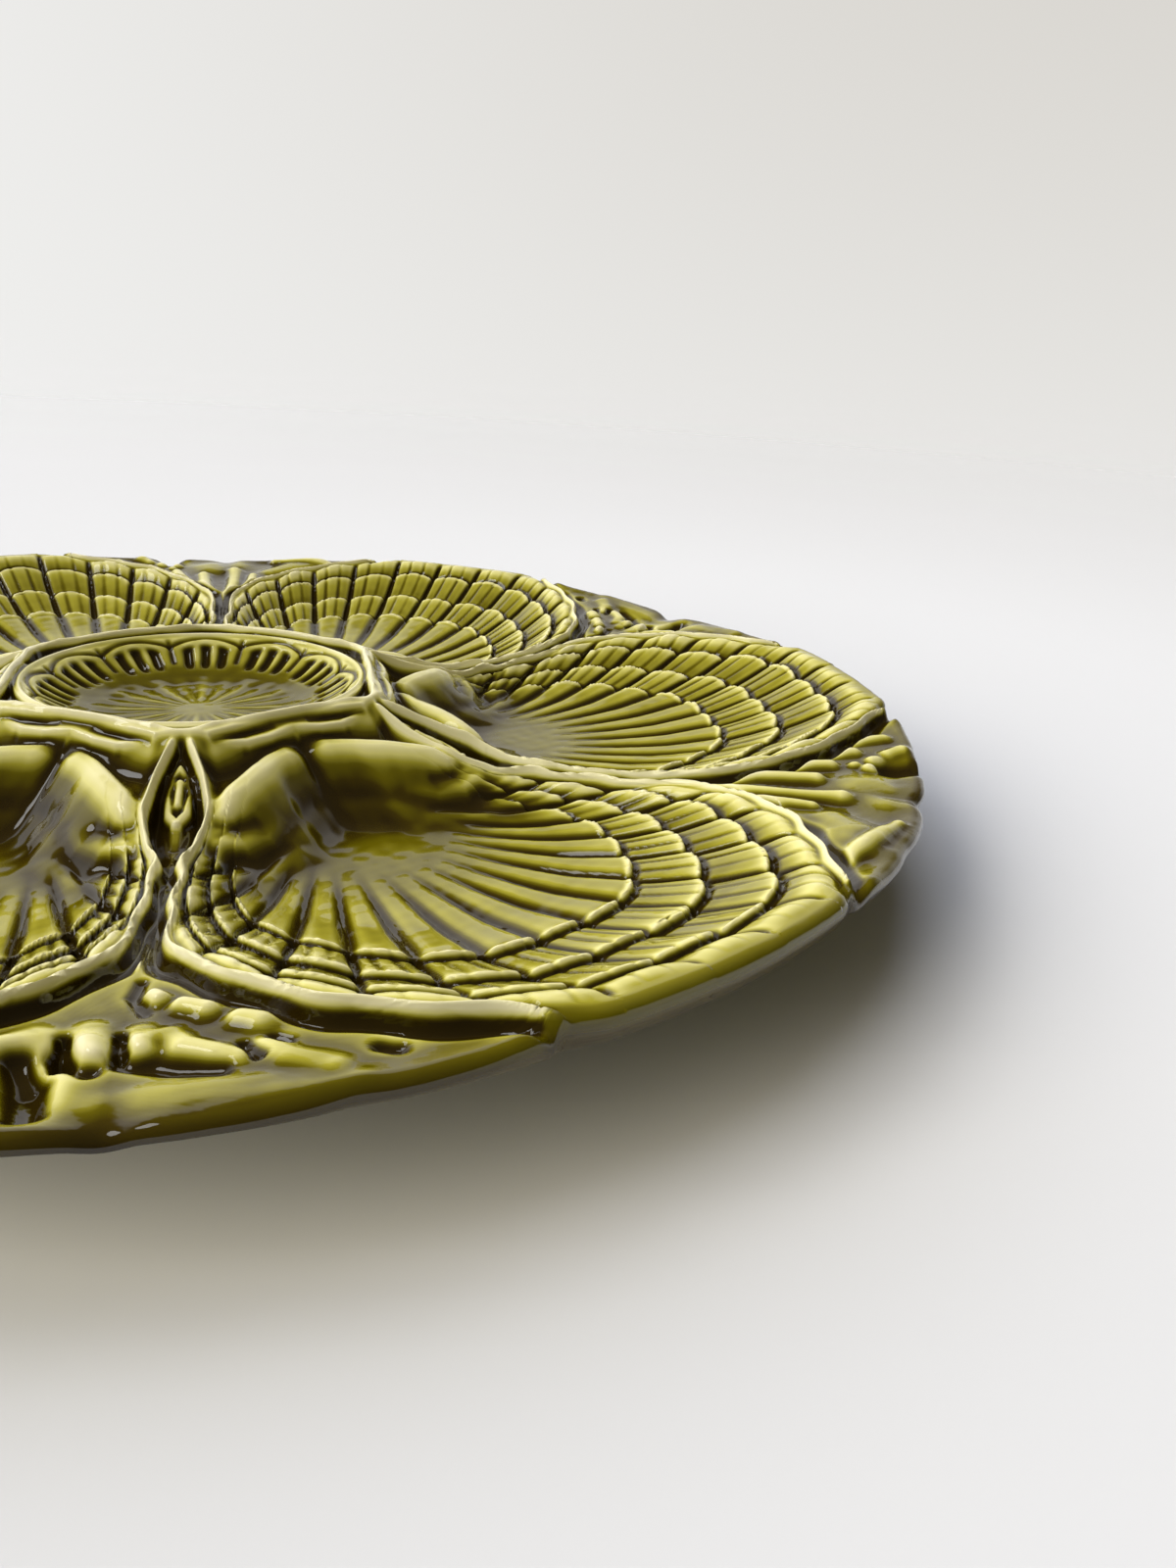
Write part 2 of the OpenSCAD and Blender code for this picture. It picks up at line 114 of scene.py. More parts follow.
# Two kinds of seaweed corner: fronds, leaves, knobs and hollows
WEED = (
    (((738, -9, 1.3, 10), (740, -8, 1.3, 10)), ((754, -42, 1.1, 10), (758, -36, 1.1, 10)),
     ((708, 2, 0.8, 8), (712, 4, 0.8, 8)), ((808, 17, 1.3, 9), (813, 21, 1.3, 9)),
     ((830, 40, 1.4, 10), (842, 58, 1.4, 11)), ((860, 84, 1.2, 11), (868, 98, 1.2, 12)),
     ((792, -62, 1.1, 9), (796, -66, 1.1, 9)), ((811, -86, 1.3, 10), (822, -102, 1.3, 11)),
     ((848, -140, 1.1, 10), (856, -150, 1.1, 11)),
     ((775, 4, -0.6, 6), (800, 0, -0.7, 6), (830, 12, -0.5, 6)), ((892, 110, -0.9, 6), (899, 119, -0.9, 6)),
     ((922, 186, -1.2, 7), (928, 198, -1.2, 8)),
     ((855, -22, 0.7, 15), (876, -21, 1.3, 14), (890, -19, 1.2, 12)),
     ((862, 12, 0.7, 13), (880, 13, 1.3, 12), (890, 14, 1.2, 11)),
     ((872, 34, 0.8, 12), (892, 46, 1.2, 12), (906, 68, 1.1, 12), (914, 82, 0.8, 11)),
     ((905, 105, 0.7, 13), (925, 120, 1, 14), (942, 150, 0.8, 14)),
     ((860, -60, 0.7, 14), (872, -75, 1.1, 14), (882, -95, 1.1, 14)),
     ((885, -125, 0.8, 12), (905, -145, 1.1, 13), (920, -170, 0.9, 13)),
     ((866, -41, -1.8, 6), (894, -38, -2.2, 9)), ((866, -1, -1.1, 5), (888, 2, -1.3, 6)),
     ((897, 88, -1, 5), (916, 99, -1.2, 6)), ((880, -112, -1, 5), (905, -118, -1.2, 6)),
     ((898, 4, -1.3, 10), (915, 40, -1.4, 11), (927, 73, -0.9, 9)),
     ((889, -68, -2, 12), (918, -57, -2.9, 16), (955, -52, -2.4, 14)),
     ((885, -45, -1.2, 8), (908, -18, -1.2, 9)),
     ((955, 0, 0.7, 20), (960, 80, 0.8, 20), (965, 160, 0.6, 20)),
     ((952, -100, 0.8, 20), (955, -180, 0.7, 20))),
    (((720, 12, 0.9, 10), (790, 35, 1.4, 12), (862, 42, 1.5, 13)),
     ((730, -10, 0.9, 10), (810, -18, 1.4, 13), (898, -19, 1.6, 15)),
     ((760, -40, 0.8, 9), (820, -52, 1.2, 11), (868, -55, 1.1, 10)),
     ((760, 45, 0.8, 9), (820, 78, 1.3, 12), (875, 95, 1.3, 12)),
     ((790, 85, 0.8, 9), (850, 125, 1.2, 12), (900, 150, 1.2, 12)),
     ((840, 140, 0.7, 10), (895, 190, 1.1, 13), (935, 215, 1, 12)),
     ((885, 30, 0.5, 20), (925, 25, 1.5, 45), (955, -5, 1.6, 40)),
     ((895, -90, 0.9, 22), (925, -140, 1.5, 34), (935, -190, 1.3, 26)),
     ((918, -235, 1, 11), (948, -165, 1.3, 12), (968, -100, 1.2, 10)),
     ((955, 108, -2.6, 20), (985, 118, -2.4, 22)), ((925, 98, 1.3, 10), (928, 98, 1.3, 10)),
     ((928, 128, 1.1, 11), (932, 130, 1.1, 11)), ((945, 155, 1.1, 12), (960, 170, 1.2, 14)),
     ((905, 105, 0.9, 8), (907, 107, 0.9, 8))))
# Creased petals on the border, from a corner towards the middle of a flat
PETALS = (
    ((274, 6, 0.1, 4), (270, 30, 0.7, 5), (252, 60, 0.8, 5), (230, 96, 0.1, 4)),
    ((272, 44, 0.1, 4), (264, 76, 0.8, 5), (249, 102, 0.8, 6), (222, 132, 0.3, 5)),
    ((262, 14, 0.1, 3), (254, 34, 0.4, 4), (240, 56, 0.1, 3)),
    ((272, 36, -0.3, 4), (259, 60, -0.6, 4), (244, 84, -0.5, 4), (232, 104, -0.2, 4)),
    ((270, 72, -0.2, 4), (254, 104, -0.5, 4), (238, 130, -0.3, 4)))
# Profile of the dish: share of its radius, share of its depth above the floor
DISH_SHARES = ((0, 0.02), (0.3, 0), (0.5, 0.03), (0.62, 0.13), (0.71, 0.28), (0.8, 0.5), (0.87, 0.7),
    (0.92, 0.86), (0.955, 0.965), (1, 1))
# Scales: bow and scatter of a scale's edge, run of a step, place and half width of its brink, as shares
# of the reach from hinge to lip
SCALE_BOW = 0.010
SCALE_SCATTER = 0.008
STEP_RUN = 0.012
BRINK_AT = 0.008
BRINK_W = 0.006
# Shares of a step's height: climb before the first row and on each row, brink over a step
FIRST_CLIMB = 0.7
ROW_CLIMBS = (0.9, 0.9, 0.6)
BRINK_SHARE = 0.35
# Shares of a rib's height: its crown before and on the rows, fine lines, tongues on the last row, and the
# difference from scale to scale
CROWN_SHARES = (0.25, 0.85)
FINE_SHARE = 0.35
TONGUE_SHARE = 0.6
SCALE_SHARE = 0.3
# How much of the ribs stays at a shell's sides on the rows, and of the faintest fine line
SIDE_RIBS = 0.8
FINE_LEAST = 0.3
# Folds at the hinge: their strength in the middle and loss at the side, the wall's run in the middle and
# at the side, and the groove in the wall as a share of a fold
FOLD_MIDDLE = 0.5
FOLD_LOSS = 0.5
WALL_RUNS = (0.88, 0.76)
WALL_GROOVE_SHARE = 0.3
# Shares of the extra glaze that darkens the hinge wall, the border's flank and the banks outside the lips,
# and that the pools lose, which makes them paler; on the hinge wall this darkening is also painted shade
GLAZE_AND_SHADE_SHARES = (1, 1.4, -2, 2.3)
# The lip: heights of its two waves, the second one's pace and shift, and the groove beside its crest
LIP_WAVES = (0.34, 0.2)
LIP_WAVE_PACE = 0.37
LIP_WAVE_SHIFT = 2
LIP_GROOVE_SHARE = 0.5
# A panel's drop just outside the lip as a share, and how flat the tops of its strokes are
PANEL_AT_LIP = 0.4
WEED_POWER = 2.6
SEED_POWER = 3.0
# Least slope of the underside as a share of the whole
UNDER_SLOPE = 0.8
# Half width of a rib's groove at the hinge, its growth outwards, and half widths between scales and of a
# fine line
GROOVE_W = 0.35 * MM
GROOVE_GROWTH = 0.016
SCALE_GROOVE_W = 0.5 * MM
FINE_W = 0.38 * MM
# Notches in the rim: place as a share of half a sector, half width in radians, share of the depth; then the
# share of that depth that is worn off all round, and the rounding of the border's corners
RIM_NOTCHES = ((0.36, 0.022, 1.0), (0.68, 0.03, 0.22), (1.0, 0.03, 0.75))
RIM_WEAR = 0.04
BORDER_ROUND = 0.7 * MM
# Rounding of the rim's edge as a share of its roll, and its dents at both sides of a shell and in the middle
# of a panel as shares of the deepest
ROLL_SHARE = 0.9
DENT_SHARES = (0.35, 1.0, 0.8)
# Centre dish: arches round it, half an arch at its foot, the angle between its slots, and an arch's top and
# bend as shares of the dish's radius
ARCHES = 12
ARCH = math.tau / ARCHES
ARCH_FOOT = math.radians(11.4)
SLOT_ANGLE = math.radians(7.6)
ARCH_TOP_SHARE = 0.905
ARCH_BEND_SHARE = 0.035
# The line over an arch and the groove between two arches as shares of a slot's depth
ARCH_LINE_SHARE = 0.4
ARCH_SIDE_SHARE = 0.35
# Blends between two faces that cross
POOL_BLEND = 0.5 * MM
BOWL_BLEND = 2.0 * MM
# Where shells and panels start at the border, as a share of the rim's radius
INNER_SHARE = 0.27
# Small forms in millimetres: where each starts and how far it runs, or its middle and half width
LENGTH_SPANS = {"rib_end": (0.9, 1.9), "rim_end": (1.6, 3.2), "side": (0, 2), "wall_groove": (7.2, 1.6),
    "crease": (0, 1), "crease_run": (2, 4), "border_side": (-0.5, 6.4), "lip_side": (-0.4, 3.8),
    "ridge_back": (0, 3.4), "pool_edge": (2.2, 0.8), "fold": (1.2, 2.2), "fold_end": (0, 3),
    "ridge": (-1, 2), "wall_shade_top": (3, 4), "wall_shade_foot": (13, 7), "wall_shade_gap": (0, 4), "flank": (1.5, 2),
    "pool": (0.5, 2), "bank_top": (-0.35, 0.5), "bank_foot": (1.8, 1), "lip": (-0.5, 1),
    "lip_crest": (0.5, 0.42), "lip_foot": (-1, 0.7), "border_end": (-1.08, 2.4), "panel_fall": (-0.3, 1.3),
    "shelf": (1.9, 1.2), "weed": (2, 1), "seed_w": (0, 2), "slot": (0, 0.85), "arch_side": (0, 0.5),
    "dish_edge": (-0.2, 0.45), "border_ridge": (1.3, 1.1), "groove_in": (0.3, 0.9),
    "groove_out": (1.9, 0.9), "dish_out": (0.2, 0.8), "rim_glaze": (-2.3, 1.3)}
# The same in shares of a radius or reach, in degrees round a hinge (rib_turn) or in radians (dents)
SHARE_SPANS = {
    "rib_turn": (56, 20), "rib_start": (0.25, 0.25), "first_climb": (0.5, ROW_SHARES[0] - 0.5),
    "rows": (ROW_SHARES[0] - 0.01, 0.02), "last_row": (ROW_SHARES[2] + 0.01, 0.02), "tongue": (0.952, 0.03),
    "ridge_middle": (0, 0.03), "ridge_side": (0.13, 0.06), "wall_side": (0.05, 0.1),
    "pool_start": (0.05, 0.05), "wall_shade_side": (0.2, 0.08), "bank_start": (0.4, 0.08),
    "wave_start": (0.42, 0.08), "wave_end": (-0.01, 0.05),
    "crest_start": (0.265, 0.03), "petal_end": (0.28, 0.02), "corner": (0.69, 0.05), "seed": (0.362, 0.042),
    "slots_start": (0.69, 0.1), "arch_top": (-0.015, 0.03), "arch_line": (0.052, 0.014),
    "side_start": (0.74, 0.04), "side_end": (0.93, 0.03), "rosette_start": (0.1, 0.2),
    "rosette_end": (0.56, 0.08),
    "rim": (0.9, 0.09), "dent_side": (0.37 * HALF, 0.02), "dent_middle": (HALF, 0.024)}
SPANS = {name: (start * MM, run * MM) for name, (start, run) in LENGTH_SPANS.items()} | SHARE_SPANS


def smooth(value):
    """Smooth step from 0 to 1."""
    value = np.clip(value, 0.0, 1.0)
    return value * value * (3 - 2 * value)


def polar(x, y):
    """Distance from the axis and angle round it."""
    return np.hypot(x, y), np.arctan2(y, x)


def from_well(angle):
    """Angle from the middle of the nearest well."""
    return (angle + HALF) % SECTOR - HALF


def mix(first, second, share):
    """A value between two others, by the share of the way from the first."""
    return first + (second - first) * share


def hump(value):
    """Bell curve of height 1 and half width 1."""
    return np.exp(-value * value)


def ease(value, name):
    """Smooth step over the named span."""
    start, run = SPANS[name]
    return smooth((value - start) / run)


def bump(value, name):
    """Bell curve with the named middle and half width."""
    middle, width = SPANS[name]
    return hump((value - middle) / width)


def higher(first, second, blend):
    """The higher of two heights, rounded where they cross."""
    return 0.5 * (first + second + np.sqrt((first - second) ** 2 + blend * blend) - blend)


def scaled(lines):
    """Strokes given in thousandths of the rim's radius and millimetres, in metres."""
    unit = PLATE_R / 1000
    return [[(u * unit, v * unit, height * MM, width * unit) for u, v, height, width in line]
            for line in lines]


def chance(*seeds):
    """A fixed value from 0 to 1 for each set of whole numbers."""
    total = sum(np.asarray(seed) * factor for seed, factor in zip(seeds, (12.9898, 78.233, 37.719)))
    value = np.sin(total + 4.1) * 43758.5453
    return value - np.floor(value)


def ripple(a, b):
    """Gentle unevenness of a glazed surface at a place in millimetres."""
    wide = np.sin(0.83 * a + 1.4 * np.sin(0.51 * b)) * np.sin(0.77 * b + 1.2 * np.sin(0.43 * a + 1))
    return wide + 0.5 * np.sin(1.7 * a - 0.9 * b) * np.sin(1.3 * b + 0.6 * a)


def strokes(x, y, lines, power=2.0):
    """Height of raised strokes, each a row of points (x, y, height, half width)."""
    total = np.zeros_like(x)
    for line in lines:
        line = np.array(line, dtype=float)
        best = np.zeros_like(x)
        reach = 2.5 * line[:, 3].max()
        near = ((x > line[:, 0].min() - reach) & (x < line[:, 0].max() + reach)
                & (y > line[:, 1].min() - reach) & (y < line[:, 1].max() + reach))
        px, py = x[near], y[near]
        found = best[near]
        for a, b in zip(line[:-1], line[1:]):
            along = b[:2] - a[:2]
            t = np.clip(((px - a[0]) * along[0] + (py - a[1]) * along[1]) / (along @ along), 0, 1)
            gap = np.hypot(px - a[0] - t * along[0], py - a[1] - t * along[1])
            height, width = mix(a[2], b[2], t), mix(a[3], b[3], t)
            value = height * np.exp(-(gap / width) ** power)
            found = np.where(np.abs(value) > np.abs(found), value, found)
        best[near] = found
        total += best
    return total


class Curve:
    """Smooth curve through given pairs, with no overshoot."""

    def __init__(self, pairs):
        self.x, self.y = (np.array(column, dtype=float) for column in zip(*pairs))
        step = np.diff(self.x)
        rise = np.diff(self.y) / step
        slope = np.zeros_like(self.x)
        inner = rise[:-1] * rise[1:] > 0
        slope[1:-1][inner] = 2 * rise[:-1][inner] * rise[1:][inner] / (rise[:-1] + rise[1:])[inner]
        self.step, self.slope = step, slope

    def __call__(self, value):
        value = np.clip(value, self.x[0], self.x[-1])
        k = np.clip(np.searchsorted(self.x, value, side="right") - 1, 0, len(self.step) - 1)
        t = (value - self.x[k]) / self.step[k]
        a = (1 + 2 * t) * (1 - t) ** 2 * self.y[k] + t * (1 - t) ** 2 * self.step[k] * self.slope[k]
        return a + t * t * (3 - 2 * t) * self.y[k + 1] + t * t * (t - 1) * self.step[k] * self.slope[k + 1]


class Grid:
    """Values on a square grid, read between its points."""

    def __init__(self, low, step, values):
        self.low, self.step, self.values = low, step, values

    def __call__(self, x, y):
        limit = np.array(self.values.shape) - 2
        fx = np.clip((x - self.low[0]) / self.step, 0, limit[0] + 0.999)
        fy = np.clip((y - self.low[1]) / self.step, 0, limit[1] + 0.999)
        i, j = fx.astype(int), fy.astype(int)
        fx, fy, v = fx - i, fy - j, self.values
        return mix(mix(v[i, j], v[i + 1, j], fx), mix(v[i, j + 1], v[i + 1, j + 1], fx), fy)


class Relief:
    """Height of the plate's upper and lower faces at any point."""

    def __init__(self, sizes):
        self.s = sizes
        self.lip_angle = Curve(LIP_ANGLE_SHARES)
        self.lip_drop = Curve(LIP_DROP_SHARES)
        self.panel_drop = Curve(PANEL_DROP_SHARES)
        self.rise = Curve(RISE_SHARES)
        self.wall = Curve(WALL_SHARES)
        self.ridge_place = Curve(RIDGE_PLACES)
        self.ridge_drop = Curve(RIDGE_DROPS)
        self.dish = Curve(DISH_SHARES)
        self.floor_z = FOOT_H + sizes.floor_t
        self.rim_z = self.floor_z + sizes.well_depth
        self.trace_lip()
        self.measure_lip()

    def trace_lip(self):
        """Edge of a shell as seen from its hinge: reach and height for each direction."""
        share = np.linspace(1.0, INNER_SHARE, 700)
        angle = HALF * self.lip_angle(share)
        rim = np.linspace(0, angle[0], 60)[:-1]
        border = np.linspace(angle[-1], 0, 120)[1:]
        turn = np.r_[rim, angle, border]
        r = np.r_[np.full(rim.size, PLATE_R), share * PLATE_R, self.border_r(border)]
        z = np.r_[np.full(rim.size, self.lip_z(1.0)), self.lip_z(share),
                  np.full(border.size, self.rim_z - self.s.border_drop)]
        x, y = r * np.cos(turn) - self.s.hinge_r, r * np.sin(turn)
        way = np.degrees(np.arctan2(y, x))
        order = np.argsort(way)
        self.turns = np.linspace(0, 180, 721)
        spread, reach = 20, 60
        kernel = np.exp(-0.5 * (np.arange(-reach, reach + 1) / spread) ** 2)

        def soften(values):
            even = np.interp(self.turns, way[order], values[order])
            wrapped = np.r_[even[reach:0:-1], even, even[-2:-2 - reach:-1]]
            return np.convolve(wrapped, kernel / kernel.sum(), "valid")

        self.reach, self.edge_z = soften(np.hypot(x, y)), soften(z)

    def measure_lip(self):
        """Distance to the lip on a grid over half a sector, positive inside the shell."""
        share = np.linspace(0.24, 1.03, 900)
        angle = HALF * self.lip_angle(share)
        lip_x, lip_y = share * PLATE_R * np.cos(angle), share * PLATE_R * np.sin(angle)
        step, margin = 0.3 * MM, 4 * MM
        columns = np.arange(0.2 * PLATE_R, PLATE_R + margin, step)
        rows = np.arange(-margin, PLATE_R * math.sin(HALF) + margin, step)
        x, y = np.meshgrid(columns, rows, indexing="ij")
        near = np.empty(x.shape, int)
        gap = np.empty(x.shape)
        for k in range(len(columns)):
            square = (x[k][:, None] - lip_x) ** 2 + (y[k][:, None] - lip_y) ** 2
            near[k] = square.argmin(1)
            gap[k] = np.sqrt(square.min(1))
        inside = np.arctan2(y, x) < HALF * self.lip_angle(np.hypot(x, y) / PLATE_R)
        low = (columns[0], rows[0])
        self.lip_gap = Grid(low, step, np.where(inside, gap, -gap))
        self.lip_share = Grid(low, step, share[near])

    def lip_z(self, share):
        """Height of the lip at a share of the rim's radius."""
        return self.rim_z - self.s.lip_drop * self.lip_drop(share)

    def border_r(self, local):
        """Outer edge of the six-sided border, its corners rounded."""
        flat = self.s.border_flats / 2 / np.cos(local)
        corner = self.s.border_corners / 2
        return corner - 0.5 * (corner - flat + np.sqrt((corner - flat) ** 2 + BORDER_ROUND ** 2))

    def rim_r(self, angle):
        """Outline of the rim, with notches beside each shell and in each panel."""
        local = np.abs(from_well(angle))
        dip = sum(depth * hump((local - place * HALF) / width) for place, width, depth in RIM_NOTCHES)
        return PLATE_R - self.s.notch_depth * (dip + RIM_WEAR)

    def underside(self, x, y):
        """Lower face: a hollow in the middle, flat round it, rising to the rim."""
        s = self.s
        r, angle = polar(x, y)
        panel = smooth(np.abs(from_well(angle)) / HALF)
        side = s.hollow_side + s.hollow_reach * panel
        start = s.rise_d / 2 + s.well_flat * (1 - panel)
        out = np.clip((r - start) / (PLATE_R - start), 0, 1.02)
        top = FOOT_H + s.hollow_h * (1 - smooth((r - s.hollow_d / 2) / side))
        return top + (self.rim_z - s.rim_t - FOOT_H) * out * mix(UNDER_SLOPE, 1, out)

    def shell(self, u, v, well, gap):
        """Ribs and rows of scales of a shell, u out from the centre and v across."""
        s = self.s
        turn = np.degrees(np.arctan2(v, u - s.hinge_r))
        rho = np.hypot(u - s.hinge_r, v)
        reach, edge = (np.interp(np.abs(turn), self.turns, row) for row in (self.reach, self.edge_z))
        share = rho / reach
        phase = np.radians(turn) / s.rib_angle
        rib = np.round(phase)
        part = phase - rib
        bow = 1 - 4 * part * part
        row = sum((share > limit).astype(int) for limit in ROW_SHARES)
        scatter = chance(well, rib, 3) - 0.5
        place = share - SCALE_BOW * bow - SCALE_SCATTER * scatter
        steps = FIRST_CLIMB * ease(place, "first_climb")
        brink = np.zeros_like(share)
        for limit, after, climb in zip(ROW_SHARES, (*ROW_SHARES[1:], 1.0), ROW_CLIMBS):
            steps = steps - smooth((place - limit) / STEP_RUN + 0.5)
            steps = steps + climb * np.clip((place - limit) / (after - limit), 0, 1)
            brink = brink - hump((place - limit - BRINK_AT) / BRINK_W)
        near_lip, rows = ease(gap, "rib_end"), ease(share, "rows")
        fade = ease(share, "rib_start") * near_lip * ease(PLATE_R - np.hypot(u, v), "rim_end")
        fade = fade * mix(1 - ease(np.abs(turn), "rib_turn"), 1.0, SIDE_RIBS * rows)
        pitch = s.rib_angle * rho
        groove_w = mix(GROOVE_W + GROOVE_GROWTH * rho, SCALE_GROOVE_W, rows)
        grooves = hump((0.5 - np.abs(part)) * pitch / groove_w)
        fine = np.zeros_like(share)
        for k in (-1, 1):
            strength = mix(FINE_LEAST, 1, chance(well, rib, row + 5 * k))
            fine = fine + strength * hump((part - k / 6 - 0.03 * scatter) * pitch / FINE_W)
        crown = bow * mix(*CROWN_SHARES, rows)
        tongue = ease(share, "last_row") * bump(share, "tongue") * bow * chance(well, rib, 8)
        relief = (crown - grooves - FINE_SHARE * rows * fine) * fade + TONGUE_SHARE * tongue * near_lip
        relief = relief + SCALE_SHARE * rows * near_lip * (chance(well, rib, row) - 0.5)
        base = mix(self.floor_z, edge, self.rise(share))
        return base + s.step_h * (steps + BRINK_SHARE * brink * near_lip) + s.rib_h * relief

    def hinge(self, u, v, past, gap, lip, bowl):
        """Shell inside its lip: bowl, ridge with two folds at the hinge, pools behind the folds."""
        s = self.s
        side = np.abs(v) / PLATE_R
        slope = (self.ridge_place(side + 0.01) - self.ridge_place(side - 0.01)) / 0.02
        out = (u - self.ridge_place(side) * PLATE_R) / np.sqrt(1 + slope * slope)
        crest = self.rim_z - self.ridge_drop(side) * MM
        strength = mix(FOLD_MIDDLE, 1, ease(side, "ridge_middle"))
        strength = strength * (1 - FOLD_LOSS * ease(side, "ridge_side"))
        run = mix(*WALL_RUNS, ease(side, "wall_side"))
        wall = mix(crest, self.floor_z, self.wall(out / run / MM))
        wall = wall - WALL_GROOVE_SHARE * s.fold_h * strength * bump(out, "wall_groove")
        wall = wall - s.crease_h * bump(v, "crease") * bump(out, "crease_run")
        wall = wall + strokes(u, np.abs(v), scaled(LOBES)) * ease(gap, "side")
        front = higher(bowl, wall, BOWL_BLEND)
        pool = self.rim_z - s.ear_drop
        border_side = mix(self.rim_z - s.border_drop, pool, ease(past, "border_side"))
        lip_side = mix(lip, pool - s.pool_dip, ease(gap, "lip_side"))
        ridge_side = mix(crest, pool - s.pool_dip, ease(-out, "ridge_back"))
        back = higher(higher(border_side, lip_side, POOL_BLEND), ridge_side, POOL_BLEND)
        back = back - s.pool_groove_h * bump(gap, "pool_edge") * ease(side, "pool_start")
        fold = s.fold_h * strength * bump(out, "fold") * ease(gap, "fold_end")
        return mix(back, front, ease(out, "ridge")) + fold

    def glaze_and_shade(self, x, y):
        """Extra glaze on the hinge walls, on the border's flank and outside the lips, and less in the pools;
        on the hinge walls the darkening is also painted shade.
        """
        r, angle = polar(x, y)
        local = from_well(angle)
        u, across = r * np.cos(local), np.abs(r * np.sin(local))
        side, gap, past = across / PLATE_R, self.lip_gap(u, across), r - self.border_r(local)
        out = u - self.ridge_place(side) * PLATE_R
        # Hinge wall: painted shade as well as thicker glaze, darkening the wall below the ridge
        wall = ease(out, "wall_shade_top") * (1 - ease(out, "wall_shade_foot"))
        wall = wall * ease(gap, "wall_shade_gap") * (1 - ease(side, "wall_shade_side"))
        flank = ease(r - self.s.dish_d / 2, "flank") * (1 - ease(past, "side"))
        pool = ease(-out, "pool") * ease(past, "pool") * ease(gap, "side")
        bank = ease(-gap, "bank_top") * (1 - ease(-gap, "bank_foot")) * ease(r / PLATE_R, "bank_start")
        parts = zip(GLAZE_AND_SHADE_SHARES, (wall, flank, pool, bank))
        return self.s.glaze_and_shade * sum(share * part for share, part in parts)

    def height(self, x, y):
        """Upper face at any point."""
        s = self.s
        r, angle = polar(x, y)
        share = r / PLATE_R
        well = np.round(angle / SECTOR)
        local = angle - well * SECTOR
        well = well % WELLS
        u, v = r * np.cos(local), r * np.sin(local)
        across, past = np.abs(v), r - self.border_r(local)
        turn = np.arctan2(v, u - s.hinge_r) / s.rib_angle
        wave = LIP_WAVES[0] * np.cos(math.tau * turn)
        wave = wave + LIP_WAVES[1] * np.sin(math.tau * LIP_WAVE_PACE * turn + LIP_WAVE_SHIFT * well)
        wave = wave * ease(share, "wave_start") * ease(1 - share, "wave_end")
        gap = self.lip_gap(u, across) + s.lip_wave * wave
        lip = self.lip_z(self.lip_share(u, across))
        inner = self.hinge(u, v, past, gap, lip, self.shell(u, v, well, gap))
        top = mix(self.panel(r, angle, gap, lip), inner, ease(gap, "lip"))
        crest = bump(gap, "lip_crest") - LIP_GROOVE_SHARE * bump(gap, "lip_foot")
        top = top + s.lip_h * crest * ease(share, "crest_start")
        top = mix(self.centre(r, angle, local), top, ease(past, "border_end"))
        corner = HALF - np.abs(local)
        petals = strokes(r * np.cos(corner), r * np.sin(corner), scaled(PETALS))
        top = top + petals * (1 - ease(share, "petal_end")) + s.ripple_h * ripple(x / MM, y / MM)
        return self.edge(top, r, angle, local)

    def panel(self, r, angle, gap, lip):
        """Face between two shells: leaf cell, groove and seaweed corner."""
        s = self.s
        share = r / PLATE_R
        count = np.floor(angle / SECTOR)
        local = angle - (count + 0.5) * SECTOR
        u, v = r * np.cos(local), r * np.sin(local)
        width, corner = np.maximum(-gap, 0), ease(share, "corner")
        face = lip - s.panel_drop * self.panel_drop(share) * mix(PANEL_AT_LIP, 1, ease(width, "panel_fall"))
        first, second = (strokes(u, v, scaled(lines), WEED_POWER) for lines in WEED)
        weed = np.where(count % 2 > 0.5, second, first) * ease(width, "weed") * corner
        seed = strokes(u, v, scaled(SEED), SEED_POWER)
        seed = seed + s.seed_bed_h * bump(share, "seed") * bump(v, "seed_w")
        return face + s.shelf_h * ease(width, "shelf") * corner + (s.frond_h * weed + s.seed_h * seed) / MM

    def centre(self, r, angle, local):
        """Dish, groove and six-sided border."""
        s = self.s
        dish_r = s.dish_d / 2
        share, past = r / dish_r, r - dish_r
        arch = (angle + ARCH / 2) % ARCH - ARCH / 2
        from_top = share - ARCH_TOP_SHARE + ARCH_BEND_SHARE * (arch / ARCH_FOOT) ** 2
        slots = sum(bump((arch - k * SLOT_ANGLE) * r, "slot") for k in (-1, 0, 1))
        slots = np.minimum(slots, 1) * ease(share, "slots_start") * (1 - ease(from_top, "arch_top"))
        side = bump((np.abs(arch) - ARCH / 2) * r, "arch_side")
        side = side * ease(share, "side_start") * (1 - ease(share, "side_end"))
        rosette = 0.5 * (np.cos(ARCHES * angle) + np.cos(2 * ARCHES * angle))
        rosette = rosette * ease(share, "rosette_start") * (1 - ease(share, "rosette_end"))
        bowl = self.rim_z - s.dish_edge_drop - s.dish_depth * (1 - self.dish(share))
        slots = slots + ARCH_LINE_SHARE * bump(from_top, "arch_line") + ARCH_SIDE_SHARE * side
        bowl = bowl - s.slot_depth * slots
        bowl = bowl + s.rosette_h * rosette + s.dish_edge_h * bump(past, "dish_edge")
        border, inner = self.border_r(local), dish_r + s.groove_w
        band = self.rim_z - s.border_drop - s.border_fall * smooth((r - inner) / (border - inner))
        band = band + s.border_ridge_h * bump(border - r, "border_ridge")
        band = band - s.groove_depth * ease(past, "groove_in") * ease(border - r, "groove_out")
        return mix(bowl, band, ease(past, "dish_out"))

